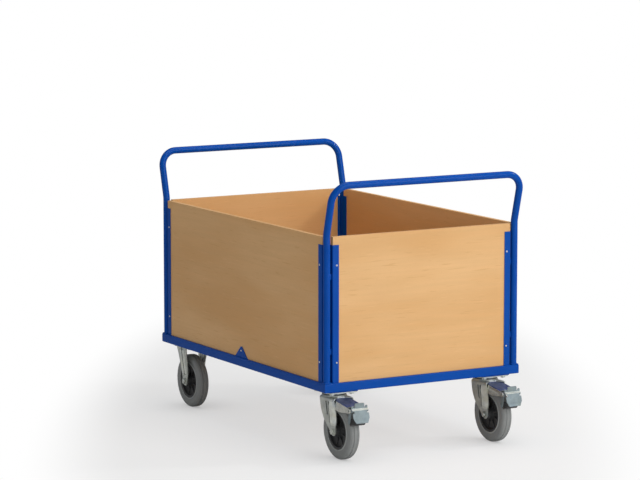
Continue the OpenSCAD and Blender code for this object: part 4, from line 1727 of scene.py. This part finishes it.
    def roof(self, y: float) -> float:
        """The level of the brake bracket's top sheet.

        Args:
            y: the place along the castor.

        Returns:
            The level there.
        """
        roof = self.crown - self.sheet
        fall = (roof - self.pivot_z - self.arm_r) / (self.slope_start - self.pivot.y)
        return roof - max(0.0, self.slope_start - y) * fall

    def bracket(self) -> None:
        """The brake bracket, a folded sheet from the crown out to the pedal's pin."""
        fold = FoldLine([(0, 0), (self.arm_half, 0), (self.arm_half, -60 * MM)], self.arm_bend, 4)
        past = fold.first_bend_end

        def down(y: float, z: float) -> Point:
            """The flat sheet's point for a point on the arm."""
            return (y, past + max(0.0, self.roof(y) - self.arm_bend - z))

        roof, front, y = self.roof(0), self.front, self.pivot.y
        stop = y + 14 * MM
        tip = arc((y, self.pivot_z), (self.arm_r, self.arm_r), 142, 265, 10)
        outline = [(stop, 0), (stop, past - MM), (stop - 4 * MM, past), *(down(*point) for point in tip),
                   down(front - 22 * MM, roof - 40 * MM), down(front, roof - 35 * MM),
                   down(self.tail, roof - 20 * MM), (self.tail, 0)]
        arm_s = past + 4 * MM
        rib = Press((y + 30 * MM, -6 * MM), (self.slope_start - 6 * MM, 12 * MM), 3 * MM, -1.5 * MM)
        flute = Press((y + 24 * MM, arm_s), (front - 4 * MM, arm_s + 9 * MM), 2.5 * MM, -0.7 * MM)
        shape = Shape.bent_sheet(outline, fold, lambda a, u, v: Vector((u, a, self.roof(a) + v)),
                                 self.bracket_sheet, Vector((0, self.slope_start, roof - 30 * MM)),
                                 [rib, flute], [self.slope_start])
        shape.soften(0.4 * MM, 2, SHEET_EDGE)
        for face in shape.bm.faces:
            # Up-facing faces get the blue-tinted zinc, a painted reflection of the blue frame above; the rest
            # is bright zinc
            face.material_index = int(face.normal.z > 0.6)
        word = self.side.word
        shape.apply(self.place)
        shape.piece(f"{word}_brake_arm", self.body, [BRIGHT_ZINC, BLUE_REFLECTION_ZINC], [f"{word}_brake_bracket"])

    def pin(self) -> None:
        """The pedal's pin, riveted over outside both arms."""
        reach, radius = self.arm_half + self.pin_head, self.pin_r
        pin = rod(radius, 2 * reach, 0.4 * MM).shift(z=-reach)
        section = [(0, 0), (radius + 2 * MM, 0), (radius + 1.4 * MM, self.pin_head * 0.7),
                   (radius - MM, self.pin_head), (0, self.pin_head)]
        seat = moved(z=self.arm_half)
        pin.add(Shape.lathe(section, 32, ring=False), [seat, FLIP_Z @ seat]).apply(SECTION_TO_X)
        pin.shift(0, self.pivot.y, self.pivot_z).apply(self.place)
        pin.piece(f"{self.side.word}_pivot_pin", self.body, [ZINC], [f"{self.side.word}_pedal_pin"])

    def pedal(self) -> None:
        """The brake pedal: tab, ears, ledge and turned-out flap, with its two levers."""
        word, y, z = self.side.word, self.pivot.y, self.pivot_z
        side_view = [(-10 * MM, 27 * MM), (-10 * MM, 8 * MM), (-18 * MM, 3 * MM), (-28.5 * MM, -34 * MM),
                     (-32 * MM, -40 * MM)]
        fold = FoldLine([(y + a - self.pedal_skin, z + b) for a, b in side_view], 3 * MM, 4)
        ear, foot, ledge, under, taper = [fold.reach(1, z + rise * MM) for rise in (18, 11, 2, -7, -24)]
        tab, wide, waist = self.tab_half, self.pedal_half, self.pedal_half - self.notch
        outline = [(0, 0), (tab - 3 * MM, 0), (tab, 3 * MM), (tab, foot), (tab + 4 * MM, foot),
                   (tab + 4 * MM, ear + 2 * MM), (tab + 6 * MM, ear), (wide - 2 * MM, ear),
                   (wide, ear + 2 * MM), (wide, ledge), (waist, ledge + 1.5 * MM), (waist, under - 1.5 * MM),
                   (wide, under), (wide, taper), (wide - self.flap_end, fold.total), (0, fold.total)]
        dish = Press((-10 * MM, under + 2 * MM), (wide - self.flap_end, taper + 5 * MM), 4 * MM, -1.6 * MM)
        shape = Shape.bent_sheet(outline, fold, lambda a, u, v: Vector((a, u, v)), self.bracket_sheet,
                                 Vector((0, y, z - 20 * MM)), [dish])
        shape.soften(0.5 * MM, 2, SHEET_EDGE)
        for face in shape.bm.faces:
            # Up-facing faces above the pin keep the plain zinc and every other face gets the darker zinc:
            # painted shade on the flap against the key light's reflection
            face.material_index = int(face.normal.z > 0.55 and face.calc_center_median().z > z - 3 * MM)
        pad = Extent.of(f"{word}_brake_pad").centre - Vector((0, self.kingpin.y, 0))
        inner = moved(self.arm_half - 2 * self.bracket_sheet - self.lever_gap)
        for end, size in (((pad.y, pad.z), 5.5 * MM), ((y - 15.5 * MM, z - 0.5 * MM), 3 * MM)):
            lever = Shape.face(smooth_link((y, z), self.lever_r, end, size)).thicken(self.bracket_sheet)
            shape.add(lever.soften(0.4 * MM).apply(SECTION_TO_X), [inner, FLIP_X @ inner])
        shape.apply(self.place)
        shape.piece(f"{word}_foot_pedal", f"{word}_brake", [PEDAL_SHADE_ZINC, ZINC], [f"{word}_brake_pedal"])
        dress(f"{word}_brake_pad", PLASTIC, 0.8 * MM)

    def build(self) -> None:
        """Builds and dresses the castor."""
        self.fork()
        self.axle_parts()
        self.bracket()
        self.pin()
        self.pedal()


@dataclass
class FixedCastors:
    """The fixed castors' brackets and axles, which stay with the frame."""

    sheet: float = 3.5 * MM
    leg_out: float = 34 * MM
    top_half: float = 48.75 * MM
    wide: float = 40 * MM
    narrow: float = 27 * MM
    waist: float = 50 * MM
    flare: float = 25 * MM
    end_r: float = 17 * MM
    bend_r: float = 12 * MM
    rib_w: float = 10 * MM
    rib_gap: float = 10 * MM
    rib_slope: float = 3 * MM
    rib_rise: float = 4 * MM

    def leg(self, axle_z: float) -> Shape:
        """One leg towards +X about the castor's centre.

        Args:
            axle_z: the axle's level.

        Returns:
            The leg.
        """
        top = TopPlates().top - TopPlates.thickness + MM
        corners = [(self.top_half, top), (self.leg_out, axle_z + self.flare),
                   (self.leg_out, axle_z - self.end_r)]
        fold = FoldLine(corners, self.bend_r)
        waist, steps = axle_z + self.waist, 7
        shares = [1 - i / steps for i in range(1, steps + 1)]
        right = [(self.narrow + (self.wide - self.narrow) * share ** 2,
                  fold.reach(1, waist + (top - waist) * share)) for share in shares]
        left = [(-across, length) for across, length in reversed(right)]
        foot = arc((0, fold.reach(1, axle_z)), (self.end_r, -self.end_r), 350, 190, 14)
        outline = [(-self.wide, 0), (self.wide, 0), *right, *foot, *left]
        low, high = fold.reach(1, axle_z + 27 * MM), 12 * MM
        ribs = [Press((x, high), (x + self.rib_w, low), self.rib_slope, self.rib_rise)
                for x in (-self.rib_w - self.rib_gap / 2, self.rib_gap / 2)]
        shape = Shape.bent_sheet(outline, fold, lambda a, u, v: Vector((u, a, v)), self.sheet,
                                 Vector((0, 0, waist)), ribs, mirrored=False)
        shape.soften(0.5 * MM, 2, SHEET_EDGE)
        for face in shape.bm.faces:
            middle = face.calc_center_median()
            if axle_z + 24 * MM < middle.z and face.normal.x > 0:
                # Raised rib faces get the pale zinc, a painted highlight; faces between the ribs get the dark
                # zinc, painted shade
                raised = middle.x > fold.at(fold.reach(1, middle.z)).x + 1.2 * MM
                between = abs(middle.y) < self.rib_gap / 2 + 0.5 * MM
                face.material_index = 2 if raised else int(between)
        return shape

    def build(self) -> None:
        """Builds and dresses the fixed castors."""
        heads, bolts, nuts = Shape(), Shape(), Shape()
        plates = TopPlates()
        for side in Side:
            axle = joint_place(f"rear_{side.word}_roll")
            place = moved(axle.x, axle.y)
            heads.add(plates.plate(), [place]).add(self.leg(axle.z), [place, place @ FLIP_X])
            spot = moved(*axle) @ Matrix.Diagonal((-side.value, 1, 1, 1))
            bolts.add(Axle().bolt(), [spot])
            nuts.add(Axle().locknut(), [spot])
        finishes = [ZINC, RECESS_SHADE_ZINC, RAISED_HIGHLIGHT_ZINC]
        heads.piece("fixed_castor_housings", "chassis", finishes, ["fixed_castor_brackets"])
        bolts.piece("rear_hex_bolts", "chassis", [ZINC], ["rear_axle_bolts"])
        nuts.piece("rear_locknuts", "chassis", [ZINC], ["rear_axle_nuts"])
        dress("rear_axle_sleeves", ZINC, 0.3 * MM)


@dataclass
class Wheel:
    """One wheel: a ribbed plastic rim with its bearing and a solid rubber tyre."""

    name: str
    radius: float = 100 * MM
    rim_r: float = 65 * MM
    half: float = 20 * MM
    rim_half: float = 18 * MM
    hub_half: float = 29.5 * MM
    hub_r: float = 19 * MM
    bore: float = 11.5 * MM
    web_half: float = 4.5 * MM
    band_r: float = 57 * MM
    rib_count: int = 8
    rib_t: float = 4 * MM
    rib_foot: float = 3.5 * MM
    crown: float = 8 * MM
    tread: float = 14 * MM
    bead_r: float = 69.8 * MM
    bead_half: float = 20.3 * MM
    groove: float = 2 * MM

    @staticmethod
    def both_ways(profile: Sequence[Point]) -> list[Point]:
        """A half section and its mirror image, as one closed section."""
        return [*profile, *((r, -w) for r, w in reversed(profile))]

    def rim(self) -> Shape:
        """The hub, web and rim band in one moulding, with ribs on both faces.

        Returns:
            The rim about Z.
        """
        hub, band, web = self.hub_r, self.band_r, self.web_half
        section = [(self.bore, self.hub_half), (hub, self.hub_half), (hub + 1.5 * MM, 14 * MM),
                   (hub + 5 * MM, web), (band - 5 * MM, web), (band - 1.5 * MM, 9 * MM),
                   (band, self.rim_half), (self.rim_r, self.rim_half)]
        shape = Shape.lathe(self.both_ways(section), 96, 1.2 * MM)
        outline = [(hub, self.rib_foot), (band, self.rib_foot), (band, 9 * MM), (40 * MM, 7.5 * MM),
                   (hub + 0.5 * MM, 14 * MM)]
        rib = Shape.face(outline, 1.5 * MM, 2).thicken(self.rib_t).soften(0.6 * MM)
        rib.apply(UPRIGHT).shift(y=self.rib_t / 2)
        turns = [turned(360 * i / self.rib_count) for i in range(self.rib_count)]
        return shape.add(rib, turns + [FLIP_Z @ turn @ turned(180 / self.rib_count) for turn in turns])

    def tyre(self) -> Shape:
        """The tyre, with a bead line beside the rim and a groove at each shoulder.

        Returns:
            The tyre about Z.
        """
        crown, bead, bottom = self.crown, self.bead_r, self.radius - self.groove
        shoulder = arc((self.radius - self.tread, crown), (self.tread, self.half - crown), 90, 8, 9)
        half = [(self.rim_r, self.rim_half), (bead - 4 * MM, self.bead_half),
                (bead - 1.2 * MM, self.bead_half), (bead, 18.7 * MM), (bead + 3.2 * MM, 18.9 * MM),
                *shoulder, (bottom, crown - 0.8 * MM), (bottom, crown - 3 * MM),
                (self.radius, crown - 3.8 * MM)]
        return Shape.lathe(self.both_ways(half), 128)

    def build(self) -> None:
        """Builds and dresses the wheel."""
        spot = moved(*joint_place(f"{self.name}_roll")) @ SECTION_TO_X
        body = f"{self.name}_wheel"
        self.rim().apply(spot).piece(f"{self.name}_wheel_centre", body, [PLASTIC], [f"{self.name}_rim"])
        tyre = self.tyre()
        for face in tyre.bm.faces:
            middle = face.calc_center_median()
            # The bead line's proud faces get the lighter rubber, a painted highlight
            proud = abs(middle.z) > self.rim_half + 0.2 * MM
            face.material_index = int(proud and middle.xy.length < self.bead_r + 0.1 * MM)
        tyre.apply(spot)
        tyre.piece(f"{self.name}_solid_tyre", body, [RUBBER, BEAD_HIGHLIGHT_RUBBER], [f"{self.name}_tyre"], 50.0)
        dress(f"{self.name}_bearing", ZINC, 0.3 * MM)


# ---- Studio ------------------------------------------------------------------------


@dataclass
class Softbox:
    """A square area light that looks at a point; sizes in metres, power in watts."""

    name: str
    place: tuple[float, float, float]
    size: float
    power: float
    look_at: tuple[float, float, float] = (0.0, 0.0, 0.4)

    def hang(self) -> None:
        """Puts the light up."""
        light = bpy.data.lights.new(self.name, "AREA")
        light.size, light.energy = self.size, self.power
        lamp = bpy.data.objects.new(self.name, light)
        lamp.location = self.place
        lamp.rotation_euler = (Vector(self.look_at) - Vector(self.place)).to_track_quat("-Z", "Y").to_euler()
        bpy.context.scene.collection.objects.link(lamp)


@dataclass
class Studio:
    """A pale floor that fades to white, soft lights and the camera."""

    azimuth: float = -29.824
    elevation: float = 7.775
    stand: tuple[float, float, float] = (-5.5751, -9.6126, 2.1963)
    lens: float = 171.85
    sensor: float = 36.0
    floor_half: float = 60.0
    near: float = 0.75
    far: float = 1.15
    depth: float = 3.2
    paper: float = 0.76
    glow: float = 0.62
    contact_shade: float = 0.50
    contact_reach: float = 0.20
    ambient: float = 0.29

    def camera(self) -> None:
        """The camera, placed from the platform's middle."""
        data = bpy.data.cameras.new("camera")
        data.lens, data.sensor_width, data.clip_end = self.lens, self.sensor, 200.0
        camera = bpy.data.objects.new("camera", data)
        a, e = math.radians(self.azimuth), math.radians(self.elevation)
        back = Vector((math.sin(a) * math.cos(e), -math.cos(a) * math.cos(e), math.sin(e)))
        camera.location = CENTRE @ Vector(self.stand)
        camera.rotation_euler = (-back).to_track_quat("-Z", "Y").to_euler()
        bpy.context.scene.collection.objects.link(camera)
        bpy.context.scene.camera = camera

    def floor(self) -> None:
        """The floor, pale grey near the trolley and white far from it."""
        shape = Shape.rectangle((-self.floor_half, -self.floor_half), (self.floor_half, self.floor_half))
        mesh = bpy.data.meshes.new("studio_floor")
        shape.bm.to_mesh(mesh)
        floor = bpy.data.objects.new("studio_floor", mesh)
        bpy.context.scene.collection.objects.link(floor)
        nodes = Nodes("studio_floor")
        x, y, _ = nodes.split(nodes.place(turn=-self.azimuth))
        deep = y / self.depth
        away = nodes.math("SQRT", x * x + deep * deep).ramp(self.near, self.far)
        seen = Signal(nodes, nodes.add("ShaderNodeLightPath").outputs["Is Camera Ray"])
        nodes.set(Base_Color=opaque((1, 1, 1), self.paper), Roughness=0.6, Specular_IOR_Level=0.2)
        glow = Signal(nodes, nodes.add("ShaderNodeEmission", None, {"Color": (1, 1, 1, 1)}).outputs[0])
        reach = {"Distance": self.contact_reach}
        clear = Signal(nodes, nodes.add("ShaderNodeAmbientOcclusion", None, reach).outputs["AO"])
        contact = (1.0 - self.contact_shade) + self.contact_shade * clear
        share = seen * (self.glow + (1.0 - self.glow) * away) * contact
        paper = Signal(nodes, nodes.shader.outputs[0])
        blend = nodes.add("ShaderNodeMixShader", None, {0: share, 1: paper, 2: glow})
        nodes.feed(nodes.tree.nodes["Material Output"].inputs[0], Signal(nodes, blend.outputs[0]))
        mesh.materials.append(nodes.material)

    def world(self) -> None:
        """A white surround, dimmer as a light than as a background."""
        world = bpy.data.worlds.new("studio")
        world.use_nodes = True
        tree = world.node_tree
        back = tree.nodes["Background"]
        back.inputs["Color"].default_value = (1, 1, 1, 1)
        seen = tree.nodes.new("ShaderNodeLightPath")
        level = tree.nodes.new("ShaderNodeMapRange")
        level.inputs["To Min"].default_value, level.inputs["To Max"].default_value = self.ambient, 1.0
        tree.links.new(seen.outputs["Is Camera Ray"], level.inputs["Value"])
        tree.links.new(level.outputs[0], back.inputs["Strength"])
        bpy.context.scene.world = world

    def build(self) -> None:
        """Sets the scene up."""
        bpy.context.scene.view_settings.view_transform = "Standard"
        self.camera()
        self.floor()
        self.world()
        Softbox("key_light", (1.6, -7.0, 2.6), 5.5, 264).hang()
        Softbox("side_light", (5.0, -2.6, 4.2), 0.9, 105).hang()
        Softbox("front_card", (-5.0, -5.0, 1.2), 2.0, 23).hang()
        Softbox("rear_card", (-6.3, 3.0, 0.9), 2.0, 26).hang()
        Softbox("top_light", (0.4, -0.6, 4.2), 3.0, 60).hang()


def main() -> None:
    """Builds the trolley and its studio."""
    logging.basicConfig(level=logging.INFO, format="%(message)s")
    Platform().build()
    Hoops().build()
    Walls().build()
    TopPlates().build()
    for side in Side:
        BrakedCastor(side).build()
    FixedCastors().build()
    for end in ("front", "rear"):
        for side in Side:
            Wheel(f"{end}_{side.word}").build()
    Studio().build()


if __name__ == "__main__":
    main()
